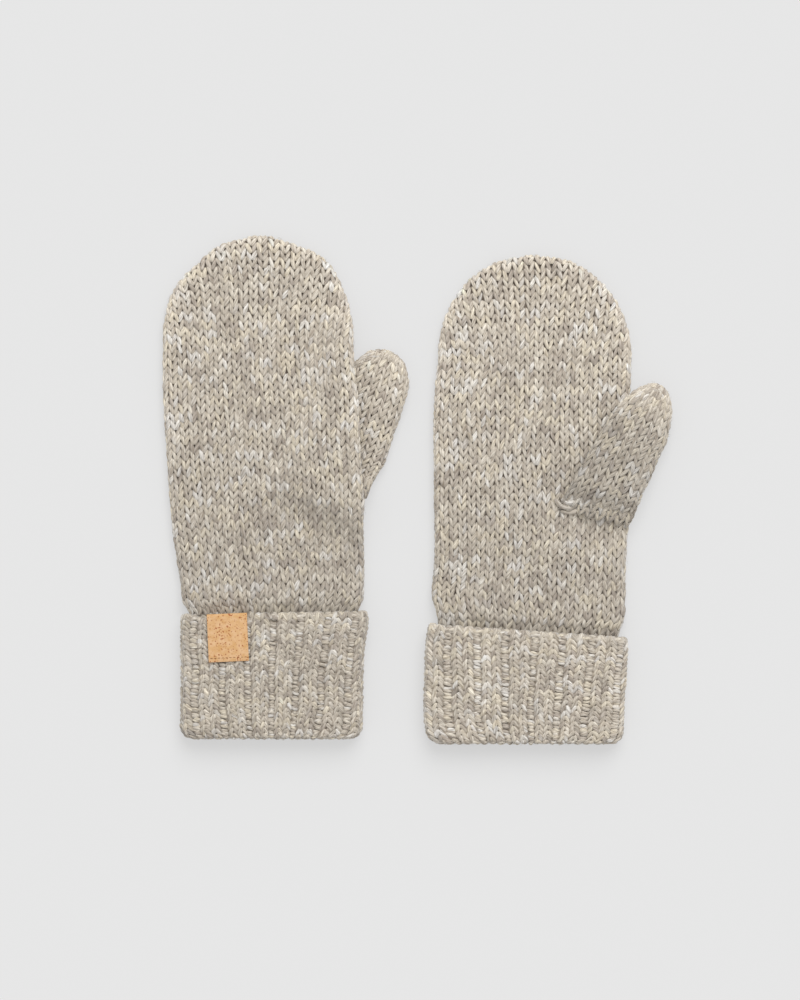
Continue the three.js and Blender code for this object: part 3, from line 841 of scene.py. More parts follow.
def stitch_legs(rng, columns, rows, place, keep, radius, leg=HAND_LEG):
    """Centre lines, sizes and colours of the two legs of every knit stitch.

    place(u, v) gives flat cloth coordinates for a column and a row, and keep(u, v) says
    which legs the cloth holds. A leg comes out thin between the legs of the stitch before
    it, swells, and turns under at its wide end."""
    v, u = np.meshgrid(np.arange(rows), np.arange(columns), indexing="ij")
    shades = marl(rng, rows, 2 * columns)
    parts = []
    t = np.array([LEG_STEPS])
    swell, rise = np.array([leg.swell]), np.array([leg.rise])
    for side, sign in ((0, -1), (1, 1)):
        uu, vv = u.ravel() + 0.5, v.ravel().astype(float)
        chosen = keep(uu + sign * 0.25, vv + 0.5)
        uu, vv = uu[chosen, None], vv[chosen, None]
        shade = shades[:, side::2].reshape(-1, 3)[chosen]
        count = len(uu)
        jitter = jitter_for(rng, count)
        lean = blend(leg.start + jitter(0.02), leg.spread + jitter(0.03), t)
        bow = 0.02 * np.sin(np.pi * t)
        up = vv + leg.below + jitter(0.05) + (leg.length + jitter(0.06)) * t
        x, y = place(uu + sign * (lean + bow), up)
        widths = radius * (1 + jitter(0.1)) * swell
        height = -YARN_SINK + rise * (1 + jitter(0.2)) + jitter(0.12)
        tint = 1 + rng.normal(size=(count, LEG_RINGS, 1)) * 0.03
        parts.append((np.stack([x, y, height], -1), widths, FLATTENED * widths, shade[:, None, :] * tint))
    return [np.concatenate([part[k] for part in parts]) for k in range(4)]


# Finishes


def add_node(tree, kind, links=(), **values):
    """Adds a node, sets its inputs and its other values, and links (output, input) pairs. An
    input's name has an underscore for each space."""
    node = tree.nodes.new(kind)
    for key, value in values.items():
        name = key.replace("_", " ")
        if name in node.inputs.keys():
            node.inputs[name].default_value = value
        else:
            setattr(node, key, value)
    for output, socket in links:
        tree.links.new(output, node.inputs[socket])
    return node


def new_material(name):
    material = bpy.data.materials.new(name)
    material.use_nodes = True
    material.node_tree.nodes.clear()
    return material, material.node_tree


def add_shader(tree, colour=None, relief=None, **values):
    """The surface: its colour's output, and a bump from a relief of height, strength and
    distance."""
    links = [(colour, "Base Color")] if colour else []
    if relief:
        height, strength, distance = relief
        bump = add_node(
            tree, "ShaderNodeBump", [(height, "Height")], Strength=strength, Distance=distance
        )
        links.append((bump.outputs[0], "Normal"))
    shader = add_node(tree, "ShaderNodeBsdfPrincipled", links, **values)
    add_node(tree, "ShaderNodeOutputMaterial", [(shader.outputs[0], "Surface")])


def add_mottle(tree, scale, detail, low, high):
    """A noise over the object, and its colours between two stops of (position, colour)."""
    place = add_node(tree, "ShaderNodeTexCoord").outputs["Object"]
    links = [(place, "Vector")]
    mottle = add_node(tree, "ShaderNodeTexNoise", links, Scale=scale, Detail=detail).outputs["Fac"]
    ramp = add_node(tree, "ShaderNodeValToRGB", [(mottle, "Fac")])
    for element, (position, colour) in zip(ramp.color_ramp.elements, (low, high)):
        element.position, element.color = position, (*colour, 1)
    return mottle, ramp.outputs[0]


def yarn_material(name, colours):
    """Marled wool-blend yarn, softly spun and slightly fuzzy: no gloss, a nap that
    brightens at the edges, and faint slanting lines where the strand is twisted."""
    material, tree = new_material(name)
    marled = add_node(tree, "ShaderNodeVertexColor", layer_name="Marl").outputs["Color"]
    strand = add_node(tree, "ShaderNodeUVMap", uv_map="Plies").outputs["UV"]
    plies = add_node(
        tree, "ShaderNodeTexNoise", [(strand, "Vector")], Scale=1.0, Detail=3.0, Roughness=0.65
    ).outputs["Fac"]
    share = add_node(
        tree, "ShaderNodeMapRange", [(plies, "Value")], From_Min=0.32, From_Max=0.68
    ).outputs[0]
    tint = add_node(tree, "ShaderNodeMix", [(share, 0)], data_type="RGBA")
    tint.inputs[6].default_value = (*colours.ply_dark, 1)
    tint.inputs[7].default_value = (*colours.ply_light, 1)
    links = [(marled, 0), (tint.outputs[2], 1)]
    shaded = add_node(tree, "ShaderNodeVectorMath", links, operation="MULTIPLY").outputs[0]
    add_shader(
        tree,
        shaded,
        (plies, 0.45, 0.0004),
        Roughness=0.95,
        IOR=1.45,
        Sheen_Weight=0.4,
        Sheen_Roughness=0.5,
        Specular_IOR_Level=0.1,
    )
    return material


def cork_material(name, colours):
    """Cork fabric: thin cork glued to cloth and printed matt, with bark specks."""
    material, tree = new_material(name)
    _, grain = add_mottle(tree, 380.0, 4.0, (0.35, colours.cork), (0.65, colours.cork_light))
    place = [(add_node(tree, "ShaderNodeTexCoord").outputs["Object"], "Vector")]
    marks = add_node(tree, "ShaderNodeTexNoise", place, Scale=1150.0, Detail=1.5).outputs["Fac"]
    share = add_node(
        tree, "ShaderNodeMapRange", [(marks, "Value")], From_Min=0.615, From_Max=0.66, To_Max=0.9
    ).outputs[0]
    mixed = add_node(tree, "ShaderNodeMix", [(share, 0), (grain, 6)], data_type="RGBA")
    mixed.inputs[7].default_value = (*colours.speck, 1)
    add_shader(tree, mixed.outputs[2], (marks, 0.5, 0.0002), Roughness=0.7, Specular_IOR_Level=0.25)
    return material


def thread_material(name, colours):
    """Polyester sewing thread, spun and slightly shiny."""
    material, tree = new_material(name)
    shade = [0.7 * c for c in colours.thread]
    _, spun = add_mottle(tree, 4200.0, 2.0, (0, shade), (1, colours.thread))
    add_shader(tree, spun, Roughness=0.5)
    return material


def ground_material(name, colours):
    """The inside of the knitting, the same wool, seen as shade between the stitches."""
    material, tree = new_material(name)
    dark, light = (getattr(colours, shade) for shade in GROUND_SHADES[name])
    mottle, colour = add_mottle(tree, 420.0, 3.0, (0.35, dark), (0.7, light))
    relief = (mottle, 0.4, 0.0004)
    add_shader(tree, colour, relief, Roughness=1.0, Sheen_Weight=0.2, Specular_IOR_Level=0.1)
    return material


GROUND_SHADES = {
    "Shaded wool ground": ("ground_dark", "ground_light"),
    "Shaded ribbed wool ground": ("ground_light", "rib_light"),
}
MATERIALS = {
    "Marled wool yarn": yarn_material,
    "Shaded wool ground": ground_material,
    "Shaded ribbed wool ground": ground_material,
    "Cork fabric": cork_material,
    "Polyester sewing thread": thread_material,
}


# Cloth under the stitches


def in_pair(mitten, points):
    """A mitten's points, in metres where it lies."""
    return (points + (*mitten.place, 0)) * MM


def closed_mesh(name, points, quads):
    """A closed mesh with its coinciding points merged and its faces turned outwards."""
    made = new_mesh_object(name, points.reshape(-1, 3), quads.ravel(), np.full(len(quads), 4))
    bpy.ops.object.select_all(action="DESELECT")
    made.select_set(True)
    bpy.context.view_layer.objects.active = made
    bpy.ops.object.mode_set(mode="EDIT")
    bpy.ops.mesh.select_all(action="SELECT")
    bpy.ops.mesh.remove_doubles(threshold=1e-6)
    bpy.ops.mesh.normals_make_consistent(inside=False)
    bpy.ops.object.mode_set(mode="OBJECT")
    made.select_set(False)
    return made


def grid_quads(rows, columns, first, wrap_columns=False, wrap_rows=False):
    """The faces of a grid of points, each as four indices."""
    steps = np.arange(rows - (not wrap_rows)), np.arange(columns - (not wrap_columns))
    k, i = np.meshgrid(*steps, indexing="ij")
    k2, i2 = (k + 1) % rows, (i + 1) % columns
    corners = [k * columns + i, k * columns + i2, k2 * columns + i2, k2 * columns + i]
    return np.stack([c.ravel() for c in corners], 1) + first


def wall_object(name, outer, inner, wrap_columns, open_end=False):
    """A closed wall between two matching grids of points. The last rows meet in a line or
    a point, or at an open end get a rim of their own."""
    rows, columns, _ = outer.shape
    total = rows * columns
    quads = [
        grid_quads(rows, columns, 0, wrap_columns),
        grid_quads(rows, columns, total, wrap_columns)[:, ::-1],
    ]
    ends = np.arange(columns if wrap_columns else columns - 1)
    following = (ends + 1) % columns
    quads.append(np.stack([following, ends, ends + total, following + total], 1))
    if open_end:
        last = (rows - 1) * columns
        rim = np.stack([ends, following, following + total, ends + total], 1)
        quads.append(rim + last)
    if not wrap_columns:
        for edge, order in ((0, 1), (columns - 1, -1)):
            at = np.arange(rows - 1) * columns + edge
            quads.append(np.stack([at, at + columns, at + columns + total, at + total], 1)[:, ::order])
    points = np.concatenate([outer.reshape(-1, 3), inner.reshape(-1, 3)])
    return closed_mesh(name, points, np.concatenate(quads))


def quarter_round(t):
    """The height of a quarter circle at a share of its way in from the edge."""
    return math.sqrt(1 - (1 - min(max(t, 0), 1)) ** 2)


def hand_shell(mitten, upper, name):
    """The panel's own cloth: the solid's form, thinner by the depth of the stitches."""
    outline, spines = hand_outline(mitten, 4, 36)
    reach = np.linalg.norm(outline - spines, axis=1)
    # closer together where the edge turns, and the last one at the centre line
    insets = np.array([0, 0.25, 0.8, 1.6, 2.8, 4.6, 8, 12, 16, 20, 24, 28, 32, 36, 40, 99])

    def layer(depths, sunk, least, edge, rounding):
        rows = []
        for depth in depths:
            t = np.minimum((depth + 1.0) / reach, 1)
            x = blend(outline[:, 0], spines[:, 0], t)
            y = settle(mitten, x, blend(outline[:, 1], spines[:, 1], t))
            middle, half = hand_level(mitten, x, y)
            thick = half - SEAM_GAP / 2 + softness(mitten, upper, x, y)
            height = np.maximum(thick - sunk, least) * quarter_round((depth - edge) / rounding)
            rows.append(np.stack([x, y, middle + upper * (SEAM_GAP / 2 + height)], 1))
        return in_pair(mitten, np.stack(rows))

    outer = layer(insets, SHELL_SINK, 0.15, 0.0, EDGE_ROUNDING)
    inner = layer(np.maximum(insets, 2.0), WALL, 0.02, 2.0, 2)
    return wall_object(name, outer, inner, False)


def thumb_shell(mitten, name):
    """A thumb's own cloth: flattened rings from the base up, closed at the tip."""
    thumb = mitten.thumb
    body = np.linspace(0, thumb.length - 8, 30)
    lengths = np.concatenate([body, thumb.length - np.array([6, 4.6, 3.4, 2.2, 1.3, 0.6])])
    across_steps = 28
    angles = 2 * math.pi * np.arange(across_steps) / across_steps

    # under the hand the slope's cloth lies below the stitches that are seen from above
    lowest = 1.0 if mitten.thumb_side < 0 else -HAND_HEIGHT

    def rings(inset):
        middle = THUMB_BEND + THUMB_HEIGHT / 2
        end = thumb.length - inset
        made = []

        def oval(width, height):
            straight = np.maximum(width - height, 0)
            x = height * np.cos(angles) + straight * np.clip(2.2 * np.cos(angles), -1, 1)
            return x, height * np.sin(angles)

        for length in lengths:
            along = length * end / thumb.length
            height = (THUMB_HEIGHT / 2 - inset) * quarter_round((end - along) / EDGE_ROUNDING)
            width = thumb_half_width(thumb, length) - inset
            x, up = oval(max(width, height), height)
            ring_along = np.full_like(x, along)
            up = thumb_slope(ring_along, SEAM_GAP + middle + up, inset)
            made.append((x, ring_along, np.maximum(up, lowest + 0.1 * inset)))
        pole = np.zeros(across_steps)
        made.append((pole, pole + end, pole + SEAM_GAP + middle))
        points = np.stack([np.stack(thumb_to_mitten(mitten, *ring), 1) for ring in made])
        return in_pair(mitten, points)

    return wall_object(name, rings(SHELL_SINK), rings(THUMB_LINING), True)


def cuff_shell(mitten, name):
    """The rib's cloth: a looped profile down the turned-up layer, round the fold and up
    the inner layer, carried round the flattened tube."""
    face = CuffFace(mitten)
    stations = 12 * RIB_REPEATS
    around = np.arange(stations) / stations * face.girth + mitten.rib_phase
    start = mitten.hand[0][0]
    x, nx, nz = face.standing(around, np.full(stations, float(start)))
    top = face.top_at(around)
    wrist = cuff_top_at(mitten, x + nx * WRIST_HALF / 2) - TUCK - SEAM_GAP
    outer = blend(OUTER_UNDER, OUTER_OVER, (1 + nz) / 2) - RIB_SHELL_SINK
    outer = outer - face.SIDE_DROP * (1 - np.abs(nz))
    turned = blend(TURNED_UNDER, TURNED_OVER, (1 + nz) / 2)
    inside = np.full(stations, OPENING_HALF + 0.7)
    wrist_face = np.full(stations, WRIST_HALF)
    ribbed = rib_height(np.mod(3 * np.arange(stations) / 12, 3), nz)

    profile = [(top - 1.0, outer - 0.9, 0.4), (top - 1.6, outer, 1)]
    for share in (0.85, 0.7, 0.55, 0.4, 0.27, 0.16):
        profile.append((share * top, outer, 1))
    for degrees in range(0, 181, 20):
        turn = math.radians(degrees)
        depth = (outer + inside) / 2 + (outer - inside) / 2 * math.cos(turn)
        fold_depth = FOLD_CENTRE - face.FOLD_DROP - RIB_SHELL_SINK
        profile.append((FOLD_CENTRE - fold_depth * math.sin(turn), depth, max(math.cos(turn), 0)))
    profile += [(0.5 * wrist, inside, 0), (wrist, inside, 0)]
    profile += [(wrist, wrist_face, 0), (0.4 * wrist, wrist_face, 0)]
    for degrees in (180, 90, 0):
        turn = math.radians(degrees)
        depth = (turned + wrist_face) / 2 + (turned - wrist_face) / 2 * math.cos(turn)
        profile.append((FOLD_CENTRE - 0.6 * math.sin(turn), depth, 0))
    profile.append((top - 1.0, turned, 0))

    rows = []
    for y, reach, rib in profile:
        y = np.broadcast_to(y, (stations,)).astype(float)
        sx, nx, nz = face.standing(around, y)
        out = reach + rib * ribbed
        rows.append(np.stack([sx + nx * out, y, CUFF_MIDDLE + nz * out], 1))
    quads = grid_quads(len(rows), stations, 0, True, True)
    return closed_mesh(name, in_pair(mitten, np.stack(rows)), quads)


def rib_height(column, facing_up):
    """How far the rib raises a place on it. Purl columns are at 0 and 3, knit ones at 1 and
    2. The rib fades out on the cuff's underside."""
    share = np.interp(column, [0, 0.5, 1, 1.5, 2, 2.5, 3], [0, 0.65, 1, 0.78, 1, 0.65, 0])
    return 0.75 * RIB_HEIGHT * share * smoothstep((facing_up + RIB_FADE) / RIB_FADE)


def rib_place(column):
    """Where a column stands in its repeat, from 0 to 1."""
    return np.interp(column, [0, 1, 2, 3], RIB_SPACING)


# Label


def label_frame(mitten):
    """The way from the label's flat frame to the pair's."""
    turn = math.radians(LABEL_TURN)
    tilt = LABEL_WIDTH / 2 * math.sin(turn)
    fold = cuff_top_at(mitten, LABEL_X) - PINCH_DEPTH + SEAM_GAP + tilt

    def to_pair(across, down, z):
        x = LABEL_X + across * math.cos(turn) + down * math.sin(turn)
        y = fold + LABEL_RAISE + across * math.sin(turn) - down * math.cos(turn)
        return in_pair(mitten, np.stack([x, y, z + 0 * x], -1))

    return to_pair


def label_strip(mitten, name):
    """A cork strip folded over the cuff's edge, a little hollow between its stitches."""
    to_pair = label_frame(mitten)
    columns = np.linspace(-LABEL_WIDTH / 2, LABEL_WIDTH / 2, 21)
    # each point is down from the fold, its height, and which way its outer side faces
    path = [(down, LABEL_TOP, 0.0, 1.0) for down in np.linspace(LABEL_LENGTH, LABEL_FLAT_FROM, 14)]
    # round the fold in two quarter turns
    for level, first in ((LABEL_TOP - LABEL_FOLD, 0), (LABEL_LOW + LABEL_FOLD, 90)):
        for degrees in range(first, first + 91, 15):
            up, out = math.sin(math.radians(degrees)), math.cos(math.radians(degrees))
            path.append((LABEL_FOLD * (1 - up) - LABEL_FOLD_OUT, level + LABEL_FOLD * out, up, out))
    path += [(down, LABEL_LOW, 0.0, -1.0) for down in np.linspace(LABEL_FLAT_FROM, LABEL_BACK, 4)]
    down, z, up_way, out_way = np.array(path).T[..., None]
    across = columns[None] + 0 * down
    share = np.clip(down / LABEL_LENGTH, 0, 1)
    front = (out_way > 0) * smoothstep(down / 4)
    hollow = LABEL_HOLLOW * np.sin(2.1 * across / 10 + 0.6) * np.sin(3.0 * share)
    sag = front * (hollow - LABEL_DIP * share**6)
    outer = to_pair(across, down + 0 * across, z + sag)
    inner = to_pair(across, down + LABEL_THICK * up_way + 0 * across, z - LABEL_THICK * out_way + sag)
    made = wall_object(name, outer, inner, False, open_end=True)
    modifier = made.modifiers.new("Soft edges", "BEVEL")
    modifier.width = LABEL_EDGE * MM
    modifier.segments = 2
    modifier.limit_method = "ANGLE"
    return made


def label_thread(mitten, name):
    """The row of machine stitches near the label's lower edge."""
    bpy.ops.object.select_all(action="DESELECT")
    bpy.ops.mesh.primitive_uv_sphere_add(segments=12, ring_count=8, radius=1)
    made = bpy.context.active_object
    made.name = name
    made.scale = [half * MM for half in THREAD_HALF_SIZE]
    bpy.ops.object.transform_apply(location=False, rotation=False, scale=True)
    bpy.ops.object.shade_smooth()
    bpy.ops.object.modifier_add(type="ARRAY")
    row = made.modifiers[-1]
    row.count = int(LABEL_WIDTH / THREAD_PITCH)
    row.use_relative_offset = False
    row.use_constant_offset = True
    row.constant_offset_displace = (THREAD_PITCH * MM, 0, 0)
    first = -(row.count - 1) * THREAD_PITCH / 2
    bpy.ops.object.modifier_apply(modifier=row.name)
    height = LABEL_TOP - THREAD_HALF_SIZE[2]
    made.location = label_frame(mitten)(first, LABEL_LENGTH - THREAD_INSET, height)
    made.rotation_euler = (0, 0, math.radians(LABEL_TURN))
    bpy.ops.object.transform_apply(location=True, rotation=True, scale=False)
    return made


# Pieces


def finish_piece(made, finish):
    colours = bpy.context.scene.mitten_colours
    material = bpy.data.materials.get(finish) or MATERIALS[finish](finish, colours)
    made.data.materials.append(material)
    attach(made, "root")


def join_face(name, face, strands, seen=True):
    """A face's strands as one piece, with fewer faces where it lies hidden."""
    if seen:
        return join_strands(name, face, *strands)
    return join_strands(name, face, *simpler(strands), sides=4)


def hand_stitches(mitten, upper, name):
    """The stockinette of one side of a hand. Its columns fan out over the tip."""
    sizes = bpy.context.scene.mitten_sizes
    face = HandFace(mitten, upper)
    rng = np.random.default_rng([RANDOM_SEED, mitten.name == "left", upper > 0])
    start = mitten.hand[0][0]
    row_height = sizes.hand_row / MM
    arc_extra = face.arc - face.ROUNDING
    end = mitten.tip_y + mitten.tip_length + arc_extra
    rows = int((end - start) / row_height) + 2
    sway = wander(rng, HAND_SWAY, HAND_SWAY_LENGTH)

    def place(u, v):
        y = start + (v - 0.2) * row_height
        left, right = sides_at(mitten.hand, np.minimum(y, mitten.tip_y))
        past = np.clip((y - mitten.tip_y) / mitten.tip_length, 0, 1)
        half = (right - left) / 2 + arc_extra
        share = 2 * u / sizes.hand_columns - 1
        x = (left + right) / 2 + share * half * (1 + FAN_OUT * past**1.3)
        dx, dy = sway(u, v)
        return x + dx, y - TIP_BOW * past * share**2 + dy

    # the stitches of both faces meet over the seam
    def keep(u, v):
        return face.within(*place(u, v), HAND_SEAM)

    legs = stitch_legs(rng, sizes.hand_columns, rows, place, keep, yarn_radius())
    x, y = legs[0][..., 0], legs[0][..., 1]
    # painted light: the yarn is painted darker at the hand's lower end and paler towards its tip
    up_the_hand = np.clip((y - start) / (end - start), 0, 1)
    inset, _ = face.edge.inside(x, y, face.prepare(x, y))
    # painted highlight: stitches near the outline are painted paler, fading out towards the cuff
    rim = np.exp(-((np.maximum(inset, 0) / RIM_WIDTH) ** 2)) * smoothstep(1.3 * up_the_hand)
    tone = blend(*mitten.hand_painted_light, up_the_hand) * (1 + RIM_HIGHLIGHT * rim)
    legs[3] = np.minimum(legs[3] * tone[..., None], 1)
    return join_face(name, face, legs, seen=upper > 0)


def thumb_stitches(mitten, outward, name):
    """The stockinette of one side of a thumb."""
    sizes = bpy.context.scene.mitten_sizes
    face = ThumbFace(mitten, outward)
    thumb = mitten.thumb
    rng = np.random.default_rng([RANDOM_SEED, 5, mitten.name == "left", outward > 0])
    row_height = sizes.hand_row / MM
    arc_extra = face.arc - face.ROUNDING
    start = thumb.stitches_from
    rows = int((thumb.length + arc_extra - start) / row_height) + 1
    sway = wander(rng, THUMB_SWAY, THUMB_SWAY_LENGTH)

    def place(u, v):
        y = start + v * row_height
        width = thumb_half_width(thumb, np.minimum(np.maximum(y, 0), thumb.length - 5)) + arc_extra
        dx, dy = sway(u, v)
        return (2 * u / sizes.thumb_columns - 1) * width + dx, y + dy

    def keep(u, v):
        return face.within(*place(u, v), THUMB_SEAM)

    legs = stitch_legs(rng, sizes.thumb_columns, rows, place, keep, yarn_radius())
    # painted light: the thumb's yarn is painted paler towards its tip than at its base
    up_the_thumb = smoothstep((legs[0][..., 1] / thumb.length - 0.55) / 0.45)
    legs[3] = np.minimum(legs[3] * blend(*mitten.thumb_painted_light, up_the_thumb)[..., None], 1)
    return join_face(name, face, legs, seen=outward * mitten.thumb_side > 0)


def corner_loops(mitten, name):
    """The loops that gather the thumb's inner corner where it joins the palm."""
    face = HandFace(mitten, mitten.thumb_side)
    rng = np.random.default_rng([RANDOM_SEED, 7, mitten.name == "left"])
    radius = yarn_radius()
    t = np.linspace(0, 1, LEG_RINGS)
    corner = np.array(2.0 - mitten.thumb.base), np.array(4.0)
    centre_x, centre_y, _ = thumb_to_mitten(mitten, *corner, 0.0)
    curves, widths = [], []
    for reach, first, last, height in CORNER_LOOPS:
        turn = np.radians(blend(first, last, t))
        x = centre_x + 1.25 * reach * np.cos(turn)
        y = centre_y + reach * np.sin(turn)
        curves.append(np.stack([x, y, height - 0.9 * (2 * t - 1) ** 2], 1))
        widths.append(1.2 * radius * (0.45 + 0.6 * np.sin(math.pi * np.clip(t, 0.08, 0.92))))
    widths = np.stack(widths)
    shades = loop_shades(rng, 1, len(curves))
    return join_strands(name, face, np.stack(curves), widths, WRAP_FLATTENED * widths, shades)


def tip_rows(mitten, name):
    """The last rows of a thumb, drawn round its tip."""
    face = ThumbFace(mitten, mitten.thumb_side)
    rng = np.random.default_rng([RANDOM_SEED, 8, mitten.name == "left"])
    radius = yarn_radius()
    points = face.edge.points
    high = np.nonzero(points[:, 1] > mitten.thumb.length - TIP_ROW_LENGTH)[0]
    t = np.linspace(-1, 1, LEG_RINGS)[None]
    curves = []
    for inset, count in TIP_ROWS:
        middle = np.linspace(high[0], high[-1], count + 2)[1:-1, None]
        reach = 0.75 * (high[-1] - high[0]) / (count + 1)
        index = np.clip((middle + reach * t).astype(int), 0, len(points) - 1)
        slant = inset + 0.5 * t + jitter_for(rng, count)(0.2)
        x, y = face.edge.at(slant, 0 * slant, index)
        curves.append(np.stack([x, y, 0.25 - YARN_SINK - 0.6 * t**2 + 0 * x], -1))
    curves = np.concatenate(curves)
    widths = np.repeat(0.8 * radius * taper(t, 0.5, 0.9), len(curves), axis=0)
    shades = loop_shades(rng, 1, len(curves), 1.08)
    return join_strands(name, face, curves, widths, WRAP_FLATTENED * widths, shades)


def cuff_stitches(mitten, name):
    """The rib's knit columns, purl bumps and chain edge. The side that is seen from above is
    one piece, and the rest another."""
    face = CuffFace(mitten)
    rng = np.random.default_rng([RANDOM_SEED, 9, mitten.name == "left"])
    radius, row_height = yarn_radius(), bpy.context.scene.mitten_sizes.rib_row / MM
    rows = int((face.fold_to + INSIDE_ROWS - RIB_START) / row_height)
    sway = wander(rng, RIB_SWAY, RIB_SWAY_LENGTH)

    def flat(u, v):
        repeat = np.floor(u / 3)
        around = (repeat + rib_place(u - 3 * repeat)) * face.girth / RIB_REPEATS + mitten.rib_phase
        dx, dy = sway(u, v)
        return around + dx, RIB_START + v * row_height + dy

    def raised(column, x, y):
        return rib_height(column, face.facing_up(x)) * (1 - smoothstep((y - face.fold_from) / 5))

    def knit(u, v):
        return np.mod(np.floor(u), 3) > 0.5

    # a knit stitch's middle is on a whole number, so the columns are set half a column back
    def place(u, v):
        return flat(u - 0.5, v)

    legs = stitch_legs(rng, 3 * RIB_REPEATS, rows, place, knit, RIB_THINNER * radius, RIB_LEG)
    legs[3] = np.minimum(legs[3] * (1.04 + 0.08 * rng.normal(size=(len(legs[3]), 1, 1))), 1)
    # the height of the rib under each ring, from its place round the cuff
    curves = legs[0]
    within = np.mod((curves[..., 0] - mitten.rib_phase) * RIB_REPEATS / face.girth, 1)
    column = np.interp(within, RIB_SPACING, [0, 1, 2, 3])
    curves[..., 2] += raised(column, curves[..., 0], curves[..., 1])

    strands = [legs]
    v, r = np.meshgrid(np.arange(rows), np.arange(RIB_REPEATS), indexing="ij")
    t = np.linspace(-1, 1, LEG_RINGS)[None]
    middle, row = 3.0 * r.ravel()[:, None], v.ravel()[:, None]
    jitter = jitter_for(rng, v.size)
    for reach, curve, offset, thickness, rise in PURL_LOOPS:
        across = middle + jitter(0.06) + (reach + jitter(0.05)) * t
        up = row + offset + jitter(0.1) + (curve + jitter(0.12)) * t**2 + (PURL_SLANT + jitter(0.1)) * t
        x, y = flat(across, up)
        width = thickness * radius * (1 + jitter(0.1)) * taper(t, 0.2, 0.94)
        height = -YARN_SINK + rise - t**2 + jitter(0.12)
        height = height + 0.35 * raised(1.0, x, y)
        shades = loop_shades(rng, rows, RIB_REPEATS, 1.08)
        strands.append([np.stack([x, y, height], -1), width, PURL_FLATTENED * width, shades])
    strands.append(edge_chain(face, rng, radius))
    strands = [np.concatenate(kind) for kind in zip(*strands)]
    strands[3] = strands[3] * mitten.cuff_tone
    middle = strands[0][:, LEG_RINGS // 2]
    before_inside = middle[:, 1] < face.fold_from + 0.7 * math.pi * FOLD_CENTRE
    seen = (face.facing_up(middle[:, 0]) > -0.2) & before_inside
    over = join_face(name, face, [kind[seen] for kind in strands])
    return over, join_face(name + "_under", face, [kind[~seen] for kind in strands], seen=False)


def edge_chain(face, rng, radius):
    """The bound-off edge of the rib, a chain of slanting loops along its top."""
    links = 3 * RIB_REPEATS
    pitch = face.girth / links
    jitter = jitter_for(rng, links)
    t = np.linspace(-1, 1, LEG_RINGS)[None]
    x = (np.arange(links) * pitch)[:, None] + 0.8 * pitch * t + jitter(0.2)
    y = EDGE_CHAIN_AT - 0.45 * t + jitter(0.15)
    width = np.repeat(0.86 * radius * taper(t, 0.5, 0.9), links, axis=0)
    height = EDGE_CHAIN_RAISE - YARN_SINK - 0.45 * t**2 + jitter(0.08)
    return [np.stack([x, y, height], -1), width, 0.9 * width, loop_shades(rng, 1, links, 1.06)]


def nap(mitten, part, face, count, x_range, y_range, rng):
    """Loose fibre ends of the yarn: very thin closed strands that stand off the stitches."""
    x, y = rng.uniform(*x_range, count), rng.uniform(*y_range, count)
    # a cuff has no seam that the fibres could stray over
    if isinstance(face, EdgedFace):
        kept = face.within(x, y)
        x, y = x[kept], y[kept]
    count = len(x)
    jitter = jitter_for(rng, count)
    heading = rng.uniform(0, 2 * math.pi, (count, 1))
    length = rng.uniform(*FIBRE_LENGTH, (count, 1))
    t = np.array([[0.0, 0.5, 1.0]])
    turn = heading + jitter(FIBRE_CURL) * t
    px = x[:, None] + length * t * np.cos(turn)
    py = y[:, None] + length * t * np.sin(turn)
    rise = rng.uniform(*FIBRE_RISE, (count, 1))
    height = FIBRE_ROOT + rise * np.array([[0.0, 1.0, 1.0]]) + jitter(FIBRE_LIFT) * t
    width = rng.uniform(*FIBRE_RADIUS, (count, 1)) * np.array([[1.0, 0.9, 0.35]])
    shade = np.array(yarn_colours())[rng.integers(*FIBRE_SHADES, count)]
    shades = np.repeat(shade[:, None], 3, axis=1)
    curves = np.stack([px, py, height], -1)
    return join_strands(f"{mitten.name}_{part}_nap", face, curves, width, width, shades, sides=3)


class MittenSizes(bpy.types.PropertyGroup):
    """Sizes of the knitting, in metres, and counts."""

    hand_columns: count_property("Columns across a hand", "Stitches across one face of a hand", 22, 8)
    thumb_columns: count_property("Columns across a thumb", "Stitches across one face of a thumb", 8, 4)
    hand_row: length_property("Row height", "Height of a stockinette row", 3.85 * MM)
    rib_row: length_property("Rib row height", "Height of a row of the rib", 2.6 * MM)
    yarn: length_property("Yarn thickness", "Width of a leg of a stitch", 2.3 * MM)
    nap_hand: count_property("Fibres on a hand", "Fibre ends on the upper face of a hand", 2600)
    nap_thumb: count_property("Fibres on a thumb", "Fibre ends on a thumb", 400)
    nap_cuff: count_property("Fibres on a cuff", "Fibre ends on a cuff", 2400)
    camera_height: length_property("Camera height", "Camera above the surface", 2.778)


class MittenColours(bpy.types.PropertyGroup):
    """Colours of the yarn, the label and the stage."""

    grey: colour_property("Grey", "Darkest stretches of the yarn", "#BEB5AA")
    taupe: colour_property("Taupe", "Ordinary stretches of the yarn", "#D4CCBF")
    beige: colour_property("Beige", "Lighter stretches of the yarn", "#E4DDD0")
    cream: colour_property("Cream", "Warm light stretches of the yarn", "#EEE5D1")
    white: colour_property("White", "Flecks in the yarn", "#F4F3F0")
    ply_dark: colour_property("Dark ply", "Tint of the darker fibres in a strand", "#A79F97")
    ply_light: colour_property("Light ply", "Tint of the lighter fibres in a strand", "#FFFFFF")
    ground_dark: colour_property("Ground dark", "Shade between the stitches", "#5C524A")
    ground_light: colour_property("Ground light", "Lit cloth between the stitches", "#8B8074")
    rib_light: colour_property("Rib ground", "Lit cloth between the ribs' stitches", "#C2B6A7")
    cork: colour_property("Cork", "Cork of the label", "#C89C68")
    cork_light: colour_property("Light cork", "Paler grain of the cork", "#D4AE85")
    speck: colour_property("Specks", "Bark specks in the cork", "#93481F")
    thread: colour_property("Thread", "Sewing thread of the label", "#9C6B3C")
    floor: colour_property("Floor", "Surface that the mittens lie on", "#888888")


